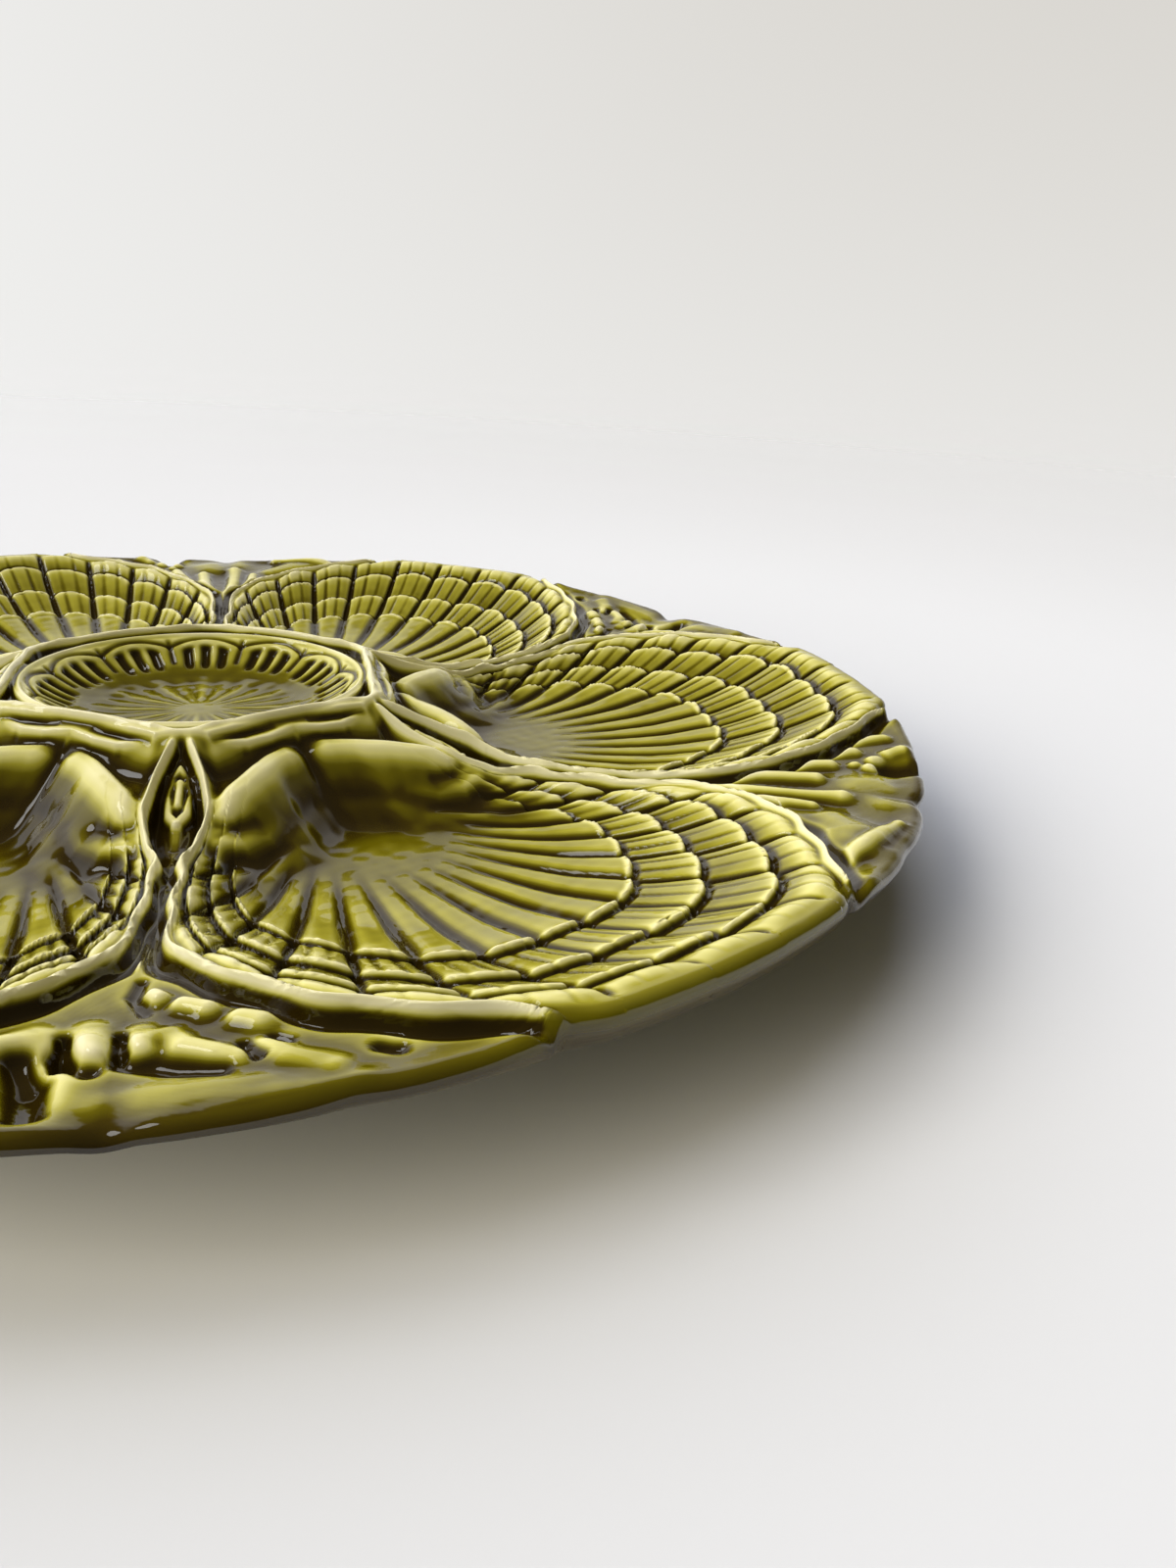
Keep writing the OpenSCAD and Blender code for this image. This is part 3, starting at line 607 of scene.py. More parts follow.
    def edge(self, top, r, angle, local):
        """Rounded edge of the rim, with its dents."""
        s = self.s
        inset = np.clip((r - self.rim_r(angle)) / s.edge_roll + 1, 0, 1)
        drop = ROLL_SHARE * s.edge_roll * (1 - np.sqrt(np.maximum(1 - inset * inset, 0)))
        side = np.abs(local)
        left, right, middle = DENT_SHARES
        dent = np.where(local < 0, left, right) * bump(side, "dent_side") + middle * bump(side, "dent_middle")
        return top - drop - s.dent_h * dent * ease(r / PLATE_R, "rim")


# Steps in which normals are measured, above and below, and the glaze's grid with its margin past the rim
TOP_STEP = 0.06 * MM
UNDER_STEP = 0.2 * MM
GLAZE_STEP = 0.35 * MM
GLAZE_MARGIN = 12 * MM
# What the glaze is compared with past the rim: start inside the rim and drop below it
RIM_LEVEL_IN = 0.5 * MM
RIM_LEVEL_DROP = 2.2 * MM
# Rim: last rows that are drawn closer, how many and how close, rows of its outer face and its swell
RIM_ROWS = 6
RIM_FINE_ROWS = 14
RIM_CLOSENESS = 1.8
FACE_ROWS = 9
FACE_SWELL = 1.2
# How far the normals of the last rows turn outwards, and the rise of that direction
RIM_TURNS = (0.95, 0.6, 0.3)
RIM_TURN_RISE = 0.1
# Glaze over the rim's face: above, at the foot, and where it starts to thicken
RIM_GLAZE = (-0.06 * MM, 0.3 * MM)
RIM_GLAZE_DROP = 1.2 * MM
# The underside has this many times fewer points each way
UNDER_SHARE = 6
# Point attributes that hold how far a point lies below its surroundings, in millimetres
GLAZE_LAYERS = ("glaze_near", "glaze_wide")


def unit(vector):
    """The same direction with length 1."""
    return vector / np.linalg.norm(vector, axis=-1, keepdims=True)


def face_normals(height, x, y, step, side=1):
    """Normals of a height function, with side -1 for a face that looks down."""
    dx = (height(x + step, y) - height(x - step, y)) / (2 * step)
    dy = (height(x, y + step) - height(x, y - step)) / (2 * step)
    return unit(side * np.stack([-dx, -dy, np.ones_like(dx)], -1))


def grid_faces(index):
    """Quads of a grid of point numbers."""
    corners = (index[:-1, :-1], index[1:, :-1], index[1:, 1:], index[:-1, 1:])
    return np.stack([corner.ravel() for corner in corners], 1)


def zip_faces(first, second):
    """Triangles between two rows of points that run side by side."""
    last, end = len(first) - 1, len(second) - 1
    where_first, where_second = np.linspace(0, 1, last + 1), np.linspace(0, 1, end + 1)
    i = j = 0
    faces = []
    while i < last or j < end:
        if j == end or (i < last and where_first[i + 1] <= where_second[j + 1]):
            faces.append((first[i], first[i + 1], second[j]))
            i += 1
        else:
            faces.append((first[i], second[j + 1], second[j]))
            j += 1
    return np.array(faces)


def weld(points, quads, triangles, index, below):
    """Joins the last column of a ring to its first, and says which points stay."""
    swap = np.arange(len(points))
    for grid in (index, below):
        swap[grid[:, -1]] = grid[:, 0]
    used = np.unique(swap)
    new = np.full(len(points), -1)
    new[used] = np.arange(len(used))
    triangles = new[swap[triangles]]
    whole = np.array([len(set(face)) == 3 for face in triangles.tolist()])
    return points[used], new[swap[quads]], triangles[whole], used


def new_mesh(name, points, quads, triangles, glaze, material, normals=None):
    """Mesh object from arrays, with its glaze and its own normals."""
    mesh = bpy.data.meshes.new(name)
    mesh.vertices.add(len(points))
    mesh.vertices.foreach_set("co", points.astype(np.float32).ravel())
    loops = np.concatenate([quads.ravel(), triangles.ravel()])
    starts = np.concatenate([np.arange(len(quads)) * 4, len(quads) * 4 + np.arange(len(triangles)) * 3])
    mesh.loops.add(len(loops))
    mesh.loops.foreach_set("vertex_index", loops.astype(np.int32))
    mesh.polygons.add(len(starts))
    mesh.polygons.foreach_set("loop_start", starts.astype(np.int32))
    mesh.update(calc_edges=True)
    if mesh.validate():
        raise RuntimeError("the mesh of %s isn't valid" % name)
    mesh.shade_smooth()
    if normals is not None:
        mesh.normals_split_custom_set_from_vertices(normals.astype(np.float32))
    for key, values in zip(GLAZE_LAYERS, glaze):
        layer = mesh.attributes.new(key, "FLOAT", "POINT")
        layer.data.foreach_set("value", values.astype(np.float32))
    mesh.materials.append(material)
    piece = bpy.data.objects.new(name, mesh)
    bpy.context.collection.objects.link(piece)
    return piece


def finish_piece(piece, node):
    """Says what carries a piece and hides the part of the model that it stands for."""
    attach(piece, "root")
    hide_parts(node)


class Surface:
    """Relief with the measures that its meshes and glaze need."""

    def __init__(self, sizes, glaze):
        self.relief = Relief(sizes)
        self.sizes = sizes
        self.material = glaze
        self.measure_surroundings()

    def measure_surroundings(self):
        """Height round each point, near and wide, softened on a grid."""
        side = np.arange(-PLATE_R - GLAZE_MARGIN, PLATE_R + GLAZE_MARGIN, GLAZE_STEP)
        x, y = np.meshgrid(side, side, indexing="ij")
        z = self.relief.height(x, y)
        z = np.where(np.hypot(x, y) > PLATE_R - RIM_LEVEL_IN, self.relief.rim_z - RIM_LEVEL_DROP, z)
        square = (np.fft.fftfreq(len(side), GLAZE_STEP)[:, None] ** 2
                  + np.fft.rfftfreq(len(side), GLAZE_STEP)[None, :] ** 2)
        waves = np.fft.rfft2(z)
        self.levels = []
        for width in (self.sizes.glaze_near, self.sizes.glaze_wide):
            soft = np.fft.irfft2(waves * np.exp(-2 * (math.pi * width) ** 2 * square), z.shape)
            self.levels.append(Grid((side[0], side[0]), GLAZE_STEP, soft))

    def glaze(self, points, rim_from=None):
        """How far each point lies below its surroundings, near and wide, evened from the rim's first row."""
        x, y, z = (points[..., k] for k in range(3))
        near, wide = (level(x, y) - z for level in self.levels)
        wide = wide + self.relief.glaze_and_shade(x, y)
        if rim_from is None:
            return near, wide
        over = ease(np.hypot(x, y) - self.relief.rim_r(np.arctan2(y, x)), "rim_glaze")
        over[rim_from:] = 1
        down = np.clip((self.relief.rim_z - RIM_GLAZE_DROP - z) / self.sizes.rim_t, 0, 1)
        return [mix(level, mix(*RIM_GLAZE, down), over) for level in (near, wide)]

    def piece(self, name, node, plan, rows, cols, rim=False, closed=False):
        """Closed piece over a plan that maps two shares, outwards and across, to points."""
        relief = self.relief
        out, across = np.linspace(0, 1, rows + 1), np.linspace(0, 1, cols + 1)
        if rim:
            fine = (1 - np.linspace(0, 1, RIM_FINE_ROWS)[1:]) ** RIM_CLOSENESS
            out = np.r_[out[:-RIM_ROWS], 1 - (1 - out[-RIM_ROWS]) * fine]
        x, y = plan(*np.meshgrid(out, across, indexing="ij"))
        top = np.stack([x, y, relief.height(x, y)], -1)
        normal = face_normals(relief.height, x, y, TOP_STEP)
        if rim:
            top, normal = self.add_rim(top, normal)
        glaze = self.glaze(top, len(out) if rim else None)
        out, across = (np.linspace(0, 1, max(count // UNDER_SHARE, 4) + 1) for count in (rows, cols))
        out, across = np.meshgrid(out, across, indexing="ij")
        x, y = plan(out, across)
        if rim:
            pull = 1 - self.sizes.edge_roll * out ** 3 / np.hypot(x, y)
            x, y = x * pull, y * pull
        under = np.stack([x, y, relief.underside(x, y)], -1)
        under_normal = face_normals(relief.underside, x, y, UNDER_STEP, -1)
        index = np.arange(top[..., 0].size).reshape(top.shape[:2])
        below = index.size + np.arange(x.size).reshape(x.shape)
        walls = [] if closed else [zip_faces(below[:, 0], index[:, 0]), zip_faces(index[:, -1], below[:, -1])]
        walls += [zip_faces(index[0], below[0]), zip_faces(below[-1], index[-1])]
        quads = np.concatenate([grid_faces(index), grid_faces(below)[:, ::-1]])
        triangles = np.concatenate(walls)
        points, normals = (np.concatenate([upper.reshape(-1, 3), lower.reshape(-1, 3)])
                           for upper, lower in ((top, under), (normal, under_normal)))
        glaze = [np.concatenate([level.ravel(), np.zeros(x.size)]) / MM for level in glaze]
        if closed:
            points, quads, triangles, keep = weld(points, quads, triangles, index, below)
            normals, glaze = normals[keep], [level[keep] for level in glaze]
        finish_piece(new_mesh(name, points, quads, triangles, glaze, self.material, normals), node)

    def add_rim(self, top, normal):
        """Outer face of the rim, rounded under to the underside."""
        roll, last = self.sizes.edge_roll, top[-1]
        r = np.hypot(last[:, 0], last[:, 1])[:, None]
        ray = last[:, :2] / r
        inner = (r - roll) * ray
        bottom = self.relief.underside(inner[:, 0], inner[:, 1])
        rows, turns = [], []
        for turn in np.linspace(0, 1, FACE_ROWS)[1:] * math.pi / 2:
            rows.append(np.c_[(r - roll * (1 - math.cos(turn))) * ray,
                              mix(last[:, 2], bottom, math.sin(turn) ** FACE_SWELL)])
            turns.append(np.c_[math.cos(turn) * ray, np.full(len(r), -math.sin(turn))])
        normal, side = normal.copy(), np.c_[ray, np.full(len(r), RIM_TURN_RISE)]
        for k, share in enumerate(RIM_TURNS):
            normal[-1 - k] = unit(mix(normal[-1 - k], side, share))
        return np.concatenate([top, np.array(rows)]), np.concatenate([normal, np.array(turns)])


# Place on the ramp of each colour of the glaze, and how strongly it is mottled
GLAZE_PLACES = {"edge": 0.02, "thin": 0.38, "light": 0.55, "body": 0.71, "deep": 0.86, "pool": 1.0}
MOTTLE = 0.08
# Dark grains of the clay as a share of its colour, with the places of both on the ramp
CLAY_DARK = 0.72
CLAY_PLACES = (0.3, 0.7)


class Network:
    """Short ways to add nodes to a material or a world."""

    def __init__(self, owner):
        owner.use_nodes = True
        self.nodes, self.links = owner.node_tree.nodes, owner.node_tree.links

    def put(self, node, inputs):
        """Sets inputs to values or links them to outputs of other nodes."""
        for key, value in inputs.items():
            if isinstance(value, bpy.types.NodeSocket):
                self.links.new(value, node.inputs[key])
            else:
                node.inputs[key].default_value = value

    def add(self, kind, inputs=None, **settings):
        """New node with its settings and inputs."""
        node = self.nodes.new("ShaderNode" + kind)
        for key, value in settings.items():
            setattr(node, key, value)
        self.put(node, inputs or {})
        return node

    def math(self, operation, *values):
        """Result of an operation on numbers or outputs."""
        return self.add("Math", dict(enumerate(values)), operation=operation).outputs[0]

    def vector(self, operation, output, *values):
        """Named result of an operation on vectors."""
        return self.add("VectorMath", dict(enumerate(values)), operation=operation).outputs[output]

    def share(self, value, low, high, most=1.0):
        """Smooth step of a value from 0 at one limit to the most at the other."""
        inputs = {"Value": value, "From Min": low, "From Max": high, "To Max": most}
        return self.add("MapRange", inputs, interpolation_type="SMOOTHSTEP").outputs["Result"]

    def lobe(self, place, way, low, high, most=1.0):
        """Smooth step by how far a place points along a way."""
        way = unit(np.array(way, dtype=float))
        return self.share(self.vector("DOT_PRODUCT", "Value", place, way), low, high, most)

    def blend(self, share, first, second):
        """Mix of two colours, each a triple or an output."""
        first, second = (color if isinstance(color, bpy.types.NodeSocket) else (*color, 1)
                         for color in (first, second))
        return self.add("Mix", {"Factor": share, 6: first, 7: second}, data_type="RGBA").outputs[2]

    def noise(self, scale, detail):
        """Cloudy noise that sticks to the object."""
        place = self.add("TexCoord").outputs["Object"]
        return self.add("TexNoise", {"Vector": place, "Scale": scale, "Detail": detail}).outputs["Fac"]

    def ramp(self, value, stops):
        """Colour ramp over a value, each stop a place and a colour."""
        node = self.add("ValToRGB", {"Fac": value})
        elements = node.color_ramp.elements
        while len(elements) > 1:
            elements.remove(elements[-1])
        elements[0].position, elements[0].color = stops[0][0], (*stops[0][1], 1)
        for place, color in stops[1:]:
            elements.new(place).color = (*color, 1)
        return node.outputs["Color"]


def olive_glaze(looks):
    """Clear olive glaze over pale clay: pale where it is thin, dark where it pools."""
    material = bpy.data.materials.new("Olive glaze")
    net = Network(material)
    near, wide = (net.add("Attribute", attribute_name=name).outputs["Fac"] for name in GLAZE_LAYERS)
    depth = net.math("MULTIPLY_ADD", near, looks.near_gain, looks.middle)
    depth = net.math("MULTIPLY_ADD", wide, looks.wide_gain, depth)
    depth = net.math("MULTIPLY_ADD", net.noise(90, 4), MOTTLE, depth)
    color = net.ramp(depth, [(place, getattr(looks, key)) for key, place in GLAZE_PLACES.items()])
    net.put(net.nodes["Principled BSDF"], {"Base Color": color, "Roughness": looks.roughness, "IOR": 1.5})
    return material


def bare_clay(looks):
    """Fired clay without glaze, finely grained."""
    material = bpy.data.materials.new("Bare clay")
    net = Network(material)
    grain = net.noise(900, 6)
    color = net.ramp(grain, list(zip(CLAY_PLACES, ([CLAY_DARK * c for c in looks.clay], looks.clay))))
    bump = net.add("Bump", {"Strength": 0.3, "Distance": 0.2 * MM, "Height": grain}).outputs["Normal"]
    net.put(net.nodes["Principled BSDF"], {"Base Color": color, "Roughness": 0.85, "Normal": bump})
    return material


def number(name, description, default):
    return FloatProperty(name=name, description=description, default=default)


def length(name, description, millimetres):
    return FloatProperty(name=name, description=description, default=millimetres * MM, unit="LENGTH",
                         precision=5)


def angle(name, description, degrees):
    return FloatProperty(name=name, description=description, default=math.radians(degrees), subtype="ANGLE")


def color(name, description, default):
    return FloatVectorProperty(name=name, description=description, default=default, subtype="COLOR",
                               min=0, max=1)


class PlateSizes(bpy.types.PropertyGroup):
    """Sizes of the plate and its relief."""
    floor_t: length("Floor thickness", "Thickness under the wells", 4.7)
    rim_t: length("Rim thickness", "Height of the outer face of the rim", 5.2)
    edge_roll: length("Edge roll", "Radius of the rounded rim edge", 1.7)
    notch_depth: length("Notch depth", "Depth of the notches in the rim's outline", 1.6)
    dent_h: length("Dent depth", "Depth of the dents in the rim's upper edge", 1.1)
    well_depth: length("Well depth", "Depth of a well below the rim", 13.8)
    hinge_r: length("Hinge distance", "Distance of a shell's hinge from the axis", 40)
    ear_drop: length("Ear drop", "Depth of the pools beside the hinge below the rim", 6.4)
    pool_dip: length("Pool dip", "Further depth of those pools beside lip and ridge", 0.4)
    pool_groove_h: length("Pool groove", "Depth of the groove along the edge of a pool", 0.25)
    fold_h: length("Fold height", "Height of the folds beside the hinge", 1.4)
    crease_h: length("Crease depth", "Depth of the crease in the middle of the hinge wall", 0.5)
    lip_drop: length("Lip drop", "Drop of the lip at its lowest", 7.5)
    lip_h: length("Lip height", "Height of the lip's crest", 0.9)
    lip_wave: length("Lip wave", "Reach of the lip's waves of height one", 1)
    rib_h: length("Rib height", "Depth of the grooves between ribs", 0.9)
    rib_angle: angle("Rib angle", "Angle between two ribs", 8.2)
    step_h: length("Step height", "Height of the steps between rows of scales", 1.1)
    panel_drop: length("Panel drop", "Depth of a panel below the lips", 3)
    shelf_h: length("Shelf height", "Height of the seaweed corner above the channels", 0.6)
    frond_h: length("Frond scale", "Height of a seaweed frond of height one", 0.8)
    seed_h: length("Seed scale", "Height of a seed of height one", 1)
    seed_bed_h: length("Seed bed", "Height of the mound that the seed lies on", 1.4)
    dish_d: length("Dish diameter", "Diameter of the centre dish", 54.8)
    dish_depth: length("Dish depth", "Depth of the centre dish", 6)
    dish_edge_drop: length("Dish edge drop", "Drop of the dish edge below the rim", 1.4)
    dish_edge_h: length("Dish edge height", "Height of the bead on the dish edge", 0.45)
    slot_depth: length("Slot depth", "Depth of the slots in the dish wall", 1.1)
    rosette_h: length("Rosette height", "Height of the faint rosette in the dish", 0.12)
    groove_w: length("Groove width", "Width of the groove round the dish", 1.4)
    groove_depth: length("Groove depth", "Depth of the groove round the dish", 1.6)
    border_flats: length("Border flats", "Border across its flats", 60)
    border_corners: length("Border corners", "Border across its corners", 67.2)
    border_drop: length("Border drop", "Drop of the border's inner edge", 1)
    border_fall: length("Border fall", "Further fall of the border outwards", 0.8)
    border_ridge_h: length("Border ridge", "Height of the ridge along the border's outer edge", 1.2)
    foot_w: length("Foot width", "Width of the foot ring at the body", 7)
    foot_face_w: length("Foot face", "Width of the bare face of the foot", 4.5)
    foot_round: length("Foot rounding", "Height of the rounding at the foot's face", 0.7)
    hollow_h: length("Hollow height", "Height of the hollow under the dish", 6.5)
    hollow_d: length("Hollow diameter", "Diameter of the hollow's flat top", 46)
    hollow_side: length("Hollow side", "Length of the hollow's side", 13)
    hollow_reach: length("Hollow reach", "Further reach of the hollow below a panel", 9)
    rise_d: length("Rise diameter", "Diameter where the underside starts to rise", 156)
    well_flat: length("Well flat", "Further flat underside below a well", 14)
    ripple_h: length("Ripple height", "Unevenness of the glaze's surface", 0.02)
    # Extra glaze depth that darkens walls, border and banks; on the hinge walls it is also painted shade
    glaze_and_shade: length("Stain", "Extra glaze on walls and banks", 0.3)
    glaze_near: length("Near reach", "Reach of the narrow glaze pools", 0.7)
    glaze_wide: length("Wide reach", "Reach of the wide glaze pools", 2.5)
    fineness: IntProperty(name="Fineness", description="Points across a shell well", default=210, min=20)


class GlazeLook(bpy.types.PropertyGroup):
    """Colours and gloss of the glaze and clay."""
    edge: color("Edge", "Glaze on sharp edges, nearly bare", (1.0, 0.965, 0.64))
    thin: color("Thin", "Glaze on high places", (0.80, 0.77, 0.27))
    light: color("Light glaze", "Colour on low ribs", (0.43, 0.40, 0.042))
    body: color("Body glaze", "Colour on plain faces", (0.14, 0.12, 0.001))
    deep: color("Deep glaze", "Colour in hollows", (0.052, 0.036, 0.0005))
    pool: color("Pooled glaze", "Colour in the deepest grooves", (0.026, 0.016, 0.0012))
    clay: color("Clay", "Colour of the bare clay", (0.72, 0.66, 0.55))
    roughness: number("Roughness", "Roughness of the glaze", 0.05)
    near_gain: number("Near gain", "Effect of narrow pools", 0.82)
    wide_gain: number("Wide gain", "Effect of wide pools", 0.31)
    middle: number("Middle", "Glaze on a plain face", 0.645)


class StageLook(bpy.types.PropertyGroup):
    """Table, light and camera."""
    table: color("Table", "Colour of the table", (0.522, 0.526, 0.542))
    near_side: color("Near side", "Light from behind the camera and below the ceiling", (0.085, 0.07, 0.04))
    ceiling: color("Ceiling", "Light from above", (0.11, 0.095, 0.065))
    left_wall: color("Left wall", "Light from the far left", (0.93, 0.93, 0.92))
    right_wall: color("Right wall", "Light from the far right", (0.70, 0.675, 0.63))
    corner: color("Corner", "Light from high at the far right", (0.15, 0.12, 0.075))
    wall_top: angle("Wall top", "Height angle of the bright wall's top", 35)
    room_light: number("Room light", "Strength of the room's light", 0.955)
    window_heading: angle("Window heading", "Way round to the window", 168)
    window_height: angle("Window height", "Height angle of the window", 52)
    window_size: angle("Window size", "Width of the window", 22)
    window_power: number("Window power", "Strength of the window's light", 0.5)
    fill_heading: angle("Fill heading", "Way round to the fill light", -150)
    fill_height: angle("Fill height", "Height angle of the fill light", 32)
    fill_size: angle("Fill size", "Width of the fill light", 60)
    fill_power: number("Fill power", "Strength of the fill light", 0.35)
    table_heading: angle("Table light heading", "Way round to the light on the table alone", -155)
    table_height: angle("Table light height", "Height angle of the light on the table alone", 24)
    table_size: angle("Table light size", "Width of the light on the table alone", 40)
    table_power: number("Table light power", "Strength of the light on the table alone", 5.4)
    sky_heading: angle("Sky heading", "Way round to the middle of the sky light", 140)
    sky_height: angle("Sky height", "Height angle of the sky light", 52)
    sky_size: angle("Sky size", "Width of the sky light", 90)
    sky_power: number("Sky power", "Strength of the sky light", 2.75)
    distance: number("Distance", "Camera distance in plate radii", 1.73176)
    elevation: angle("Elevation", "Camera height angle", 15.266)
    heading: angle("Heading", "Camera place round the plate", 4.5)
    pan: angle("Pan", "Camera turn to the right", 19.488)
    tilt: angle("Tilt", "Camera turn downwards", 20.673)
    roll: angle("Roll", "Camera roll", -3.677)
    lens: number("Lens", "Focal length in millimetres", 26.82)


# Points along a strip, across a panel, out in the dish and round it, for one across a shell
STRIP_POINTS = 1.25
PANEL_POINTS = 0.7
DISH_POINTS = 0.6
ROUND_POINTS = 3
BORDER_ROWS = 24
FOOT_POINTS = 240
DISH_START = 0.05 * MM
# Ways and spans of the room's light: each a direction, where its light starts and where it is full
UP = (0, 0, 1)
RIGHT = (1, 0.4, 0)
RIGHT_SPAN = (-0.2, 0.9)
ROOM = {"ceiling": (UP, 0.15, 0.85), "right": (RIGHT, *RIGHT_SPAN), "right_height": (UP, -0.45, 0.45),
        "corner": ((1, 0.2, 0), 0.5, 0.88), "corner_height": (UP, 0.2, 0.42), "far": ((-0.12, 1, 0), 0, 0.5)}
WALL_TOP_SPAN = (-0.03, 0.06)
# Table: half its size in metres, the painted shade that darkens its far right as a share of its tone, and
# where that painted shade and the fading into the backdrop start and are full, by one over the distance in
# metres
TABLE_SIZE = 60.0
TABLE_FAR_SHADE = (0.75, 0.732, 0.7)
TABLE_SHADE_SHARE = 0.5
TABLE_SHADE_SPAN = (4.0, 0.3)
TABLE_FADE_SPAN = (2.0, 0.15)
# Lamps: name, whose settings it takes, share of their power, tint; only the window shows in reflections and
# lights table and plate alike, the names that start with table light the table alone and the others the plate
LAMPS = (("fill", "fill", 1.0, (1.0, 0.95, 0.86)), ("table light", "table", 1.0, (1.0, 0.93, 0.77)),
         ("window", "window", 1.0, (1.0, 1.0, 1.0)), ("table sky", "sky", 1.19, (0.84, 0.885, 1.0)),
         ("sky", "sky", 1.0, (1.0, 0.935, 0.79)))
# Holds the glazed surface once it is made
MADE = []


def surface():
    """The glazed surface, made once for all pieces."""
    if not MADE:
        scene = bpy.context.scene
        MADE.append(Surface(scene.plate_sizes, olive_glaze(scene.glaze_look)))
    return MADE[0]


def make_strips(name, node, panel, points):
    """Six pieces from border to rim: the shells, or the panels between them."""
    made = surface()
    relief, fine = made.relief, made.sizes.fineness
    for k in range(WELLS):
        def plan(out, across, middle=(k + 0.5 * panel) * SECTOR):
            share = relief.lip_angle(mix(INNER_SHARE, 1.0, out))
            local = (2 * across - 1) * HALF * (1 - share if panel else share)
            turn = local + middle
            r = mix(relief.border_r(HALF - np.abs(local) if panel else local), relief.rim_r(turn), out)
            return r * np.cos(turn), r * np.sin(turn)
        rows, cols = int(fine * STRIP_POINTS), int(fine * points)
        made.piece(name % (k + 1), node % (k + 1), plan, rows, cols, rim=True)


class MakeWells(bpy.types.Operator):
    """Make the six shell wells"""
    bl_idname = "plate.make_wells"
    bl_label = "Shell wells"

    def execute(self, context):
        make_strips("shell_%d", "shell_well_%d", False, 1)
        return {"FINISHED"}


class MakePanels(bpy.types.Operator):
    """Make the six seaweed panels"""
    bl_idname = "plate.make_panels"
    bl_label = "Seaweed panels"

    def execute(self, context):
        make_strips("weed_%d", "weed_panel_%d", True, PANEL_POINTS)
        return {"FINISHED"}


class MakeCentre(bpy.types.Operator):
    """Make the centre dish and its border"""
    bl_idname = "plate.make_centre"
    bl_label = "Centre dish"

    def execute(self, context):
        made = surface()
        sizes = made.sizes
        groove, points = sizes.dish_d / 2 + sizes.groove_w, sizes.fineness * ROUND_POINTS

        def dish(out, across):
            r = mix(DISH_START, groove, out)
            return r * np.cos(across * math.tau), r * np.sin(across * math.tau)

        def border(out, across):
            turn = across * math.tau
            r = mix(groove, made.relief.border_r(from_well(turn)), out)
            return r * np.cos(turn), r * np.sin(turn)

        made.piece("dish", "centre_dish", dish, int(sizes.fineness * DISH_POINTS), points, closed=True)
        made.piece("border", "dish_border", border, BORDER_ROWS, points, closed=True)
        return {"FINISHED"}


class MakeFoot(bpy.types.Operator):
    """Make the foot ring with its bare base"""
    bl_idname = "plate.make_foot"
    bl_label = "Foot ring"

    def execute(self, context):
        made = surface()
        sizes = made.sizes
        soft, slope = sizes.foot_round, (sizes.foot_w - sizes.foot_face_w) / 2
        side = [(0, FOOT_H), (0.85 * slope, soft), (slope, 0.3 * soft), (slope + soft, 0)]
        profile = np.array([(FOOT_R - sizes.foot_w + run, z) for run, z in side]
                           + [(FOOT_R - run, z) for run, z in reversed(side)])
        turns = np.linspace(0, math.tau, FOOT_POINTS + 1)[:-1, None]
        r, z = profile.T
        points = np.stack(np.broadcast_arrays(r * np.cos(turns), r * np.sin(turns), z), -1).reshape(-1, 3)
        index = np.arange(len(points)).reshape(FOOT_POINTS, len(profile))
        quads = grid_faces(np.pad(index, (0, 1), mode="wrap"))
        glaze = np.zeros((2, len(points)))
        piece = new_mesh("foot", points, quads, np.zeros((0, 3), int), glaze, made.material)
        piece.data.materials.append(bare_clay(context.scene.glaze_look))
        base = points[quads, 2].max(1) < 0.5 * soft
        piece.data.polygons.foreach_set("material_index", base.astype(np.int32))
        finish_piece(piece, "foot_ring")
        return {"FINISHED"}


def put_thing(thing, axes, place):
    """Puts a lamp or camera at a place, turned by its three axes, and into the scene."""
    matrix = np.eye(4)
    matrix[:3, :3], matrix[:3, 3] = np.stack(axes, 1), place
    bpy.context.collection.objects.link(thing)
    thing.matrix_world = Matrix(matrix.tolist())


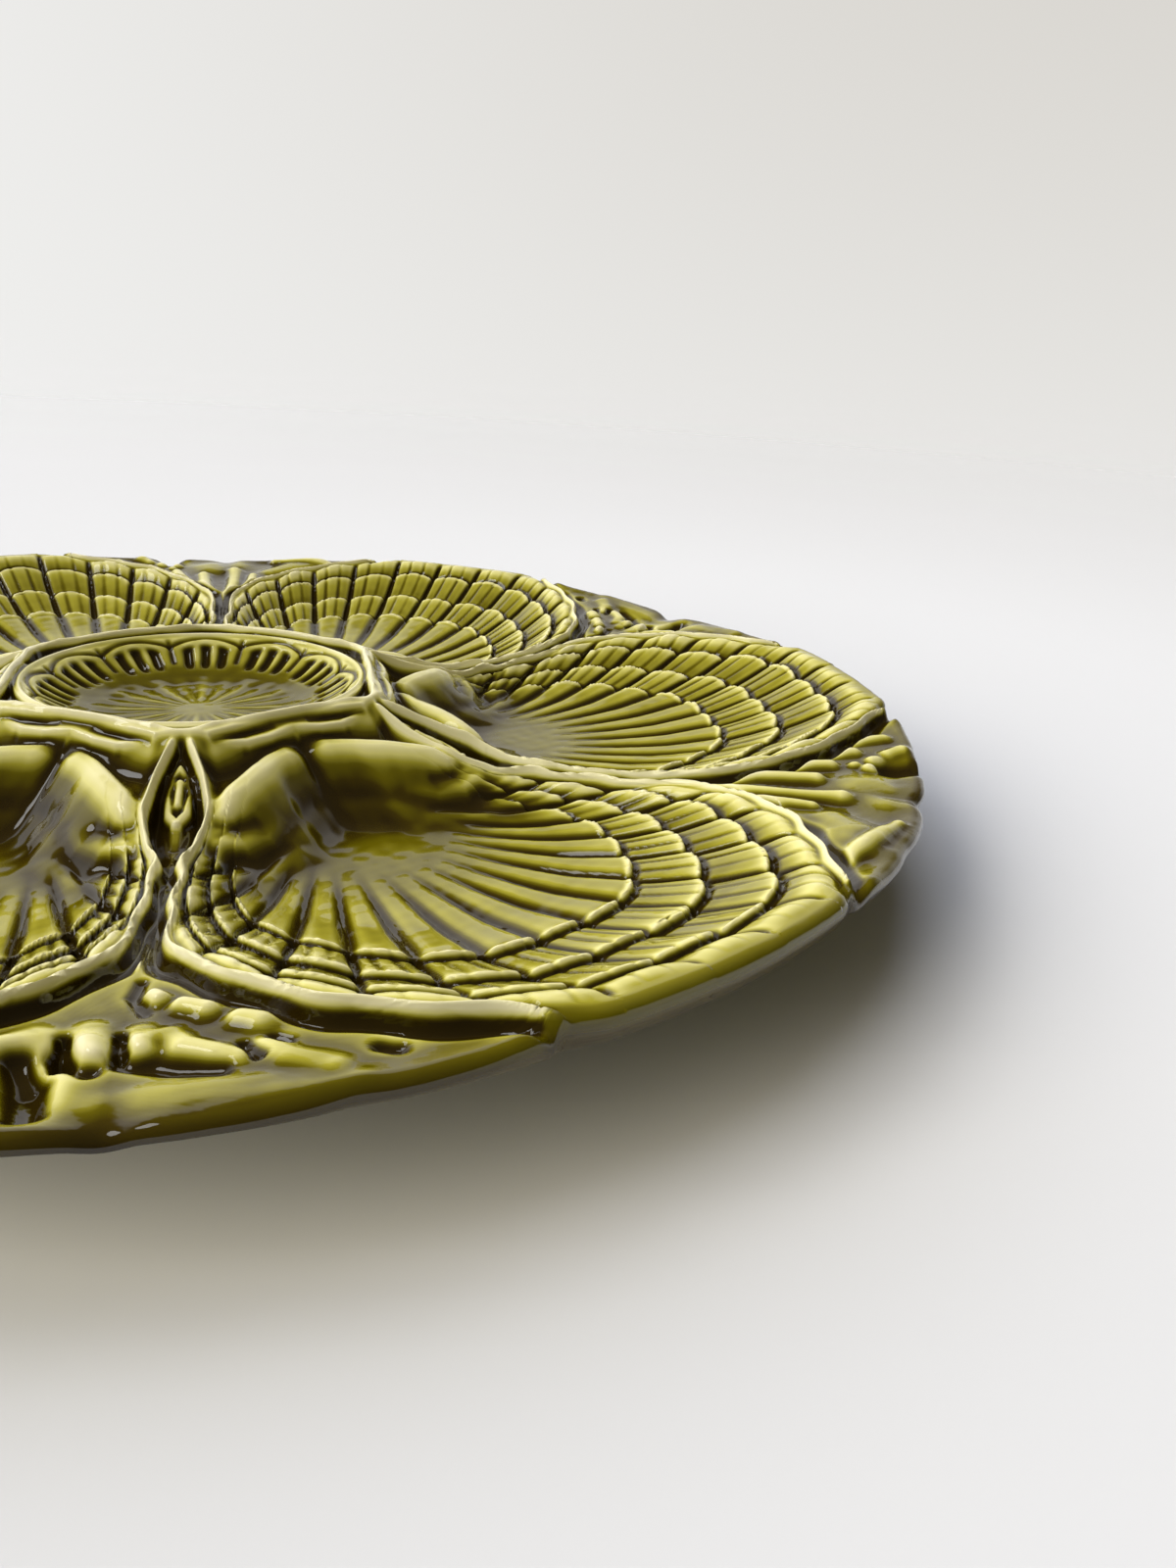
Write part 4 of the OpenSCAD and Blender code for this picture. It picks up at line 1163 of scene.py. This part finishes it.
class MakeStage(bpy.types.Operator):
    """Make the table, the light and the camera"""
    bl_idname = "plate.make_stage"
    bl_label = "Stage"

    def execute(self, context):
        look = context.scene.stage_look
        self.lamps(look, self.table(look))
        self.room(context.scene, look)
        self.camera(context.scene, look)
        return {"FINISHED"}

    def table(self, look):
        """Pale table with painted shade that darkens it a little at the far right, and that fades into the
        backdrop.
        """
        mesh = bpy.data.meshes.new("table")
        corners = [(x * TABLE_SIZE, y * TABLE_SIZE, 0) for x, y in ((-1, -1), (1, -1), (1, 1), (-1, 1))]
        mesh.from_pydata(corners, [], [(0, 1, 2, 3)])
        table = bpy.data.objects.new("table", mesh)
        bpy.context.collection.objects.link(table)
        material = bpy.data.materials.new("Table")
        net = Network(material)
        place = net.add("TexCoord").outputs["Object"]
        nearness = net.math("DIVIDE", 1.0, net.vector("LENGTH", "Value", place))
        # Painted shade: the table's colour darkens towards the far right
        right = net.lobe(net.vector("NORMALIZE", "Vector", place), RIGHT, *RIGHT_SPAN, TABLE_SHADE_SHARE)
        share = net.math("MULTIPLY", right, net.share(nearness, *TABLE_SHADE_SPAN))
        painted_shade_tone = net.blend(share, look.table, [c * k for c, k in zip(look.table, TABLE_FAR_SHADE)])
        shader = net.nodes["Principled BSDF"]
        net.put(shader, {"Base Color": painted_shade_tone, "Roughness": 0.7, "Specular IOR Level": 0.0})
        clear = net.add("BsdfTransparent").outputs[0]
        share = net.share(nearness, *TABLE_FADE_SPAN)
        fade = net.add("MixShader", {"Fac": share, 1: shader.outputs[0], 2: clear}).outputs[0]
        net.put(net.nodes["Material Output"], {"Surface": fade})
        mesh.materials.append(material)
        return table

    def room(self, scene, look):
        """A bright far side and a dim near side for the light, a pale backdrop all round for the camera."""
        world = bpy.data.worlds.new("Room")
        scene.world = world
        scene.view_settings.view_transform = "Standard"
        net = Network(world)
        place = net.add("TexCoord").outputs["Generated"]
        part = {name: net.lobe(place, *span) for name, span in ROOM.items()}
        near = net.blend(part["ceiling"], look.near_side, look.ceiling)
        right = net.math("MULTIPLY", part["right"], part["right_height"])
        backdrop = net.blend(right, look.left_wall, look.right_wall)
        corner = net.math("MULTIPLY", part["corner"], part["corner_height"])
        top = [math.sin(look.wall_top) + step for step in WALL_TOP_SPAN]
        far = net.blend(net.lobe(place, UP, *top), net.blend(corner, backdrop, look.corner), look.ceiling)
        seen = net.add("LightPath").outputs["Is Camera Ray"]
        light = net.blend(seen, net.blend(part["far"], near, far), backdrop)
        net.put(net.nodes["Background"], {"Color": light, "Strength": look.room_light})

    def lamps(self, look, table):
        """The window, and softer lamps that light either the table or the plate."""
        for name, key, share, tint in LAMPS:
            heading, height, size, power = (getattr(look, key + "_" + part)
                                            for part in ("heading", "height", "size", "power"))
            lamp = bpy.data.lights.new(name, "SUN")
            lamp.angle, lamp.energy, lamp.color = size, share * power, tint
            sun = bpy.data.objects.new(name, lamp)
            sun.visible_glossy = name == "window"
            if name != "window":
                lit = bpy.data.collections.new("Lit by " + name)
                lit.objects.link(table)
                if not name.startswith("table"):
                    lit.collection_objects[0].light_linking.link_state = "EXCLUDE"
                sun.light_linking.receiver_collection = lit
            level = math.cos(height)
            back = np.array((math.cos(heading) * level, math.sin(heading) * level, math.sin(height)))
            right = unit(np.cross(UP, back))
            put_thing(sun, (right, np.cross(back, right), back), 2 * back)

    def camera(self, scene, look):
        """Camera from its distance, height angle, heading and turns."""
        away, tall, pan, tilt, roll = look.distance * PLATE_R, look.elevation, look.pan, look.tilt, look.roll
        ahead = np.array((math.sin(pan) * math.cos(tilt), math.cos(pan) * math.cos(tilt), -math.sin(tilt)))
        right = np.array((math.cos(pan), -math.sin(pan), 0))
        down = np.cross(ahead, right)
        axes = (math.cos(roll) * right + math.sin(roll) * down,
                math.sin(roll) * right - math.cos(roll) * down, -ahead)
        turn = np.array(Matrix.Rotation(look.heading, 3, "Z"))
        place = turn @ (0, -away * math.cos(tall), away * math.sin(tall)) + (0, 0, surface().relief.rim_z)
        data = bpy.data.cameras.new("camera")
        data.sensor_width = 36
        data.lens = look.lens
        data.clip_start = 0.01
        scene.camera = bpy.data.objects.new("camera", data)
        put_thing(scene.camera, [turn @ axis for axis in axes], place)


class PlatePanel(bpy.types.Panel):
    """Buttons that make the plate"""
    bl_idname = "VIEW3D_PT_plate"
    bl_label = "Oyster plate"
    bl_space_type = "VIEW_3D"
    bl_region_type = "UI"
    bl_category = "Plate"

    def draw(self, context):
        for operator in OPERATORS:
            self.layout.operator(operator.bl_idname)
        for group in (context.scene.plate_sizes, context.scene.glaze_look, context.scene.stage_look):
            for key in group.bl_rna.properties.keys():
                if key not in ("rna_type", "name"):
                    self.layout.prop(group, key)


OPERATORS = (MakeWells, MakePanels, MakeCentre, MakeFoot, MakeStage)
GROUPS = {"plate_sizes": PlateSizes, "glaze_look": GlazeLook, "stage_look": StageLook}


def register():
    for item in (*GROUPS.values(), *OPERATORS, PlatePanel):
        bpy.utils.register_class(item)
    for key, group in GROUPS.items():
        setattr(bpy.types.Scene, key, PointerProperty(type=group))


def unregister():
    for key in GROUPS:
        delattr(bpy.types.Scene, key)
    for item in (PlatePanel, *reversed(OPERATORS), *GROUPS.values()):
        bpy.utils.unregister_class(item)


def main():
    register()
    bpy.ops.plate.make_wells()
    bpy.ops.plate.make_panels()
    bpy.ops.plate.make_centre()
    bpy.ops.plate.make_foot()
    bpy.ops.plate.make_stage()


if __name__ == "__main__":
    main()
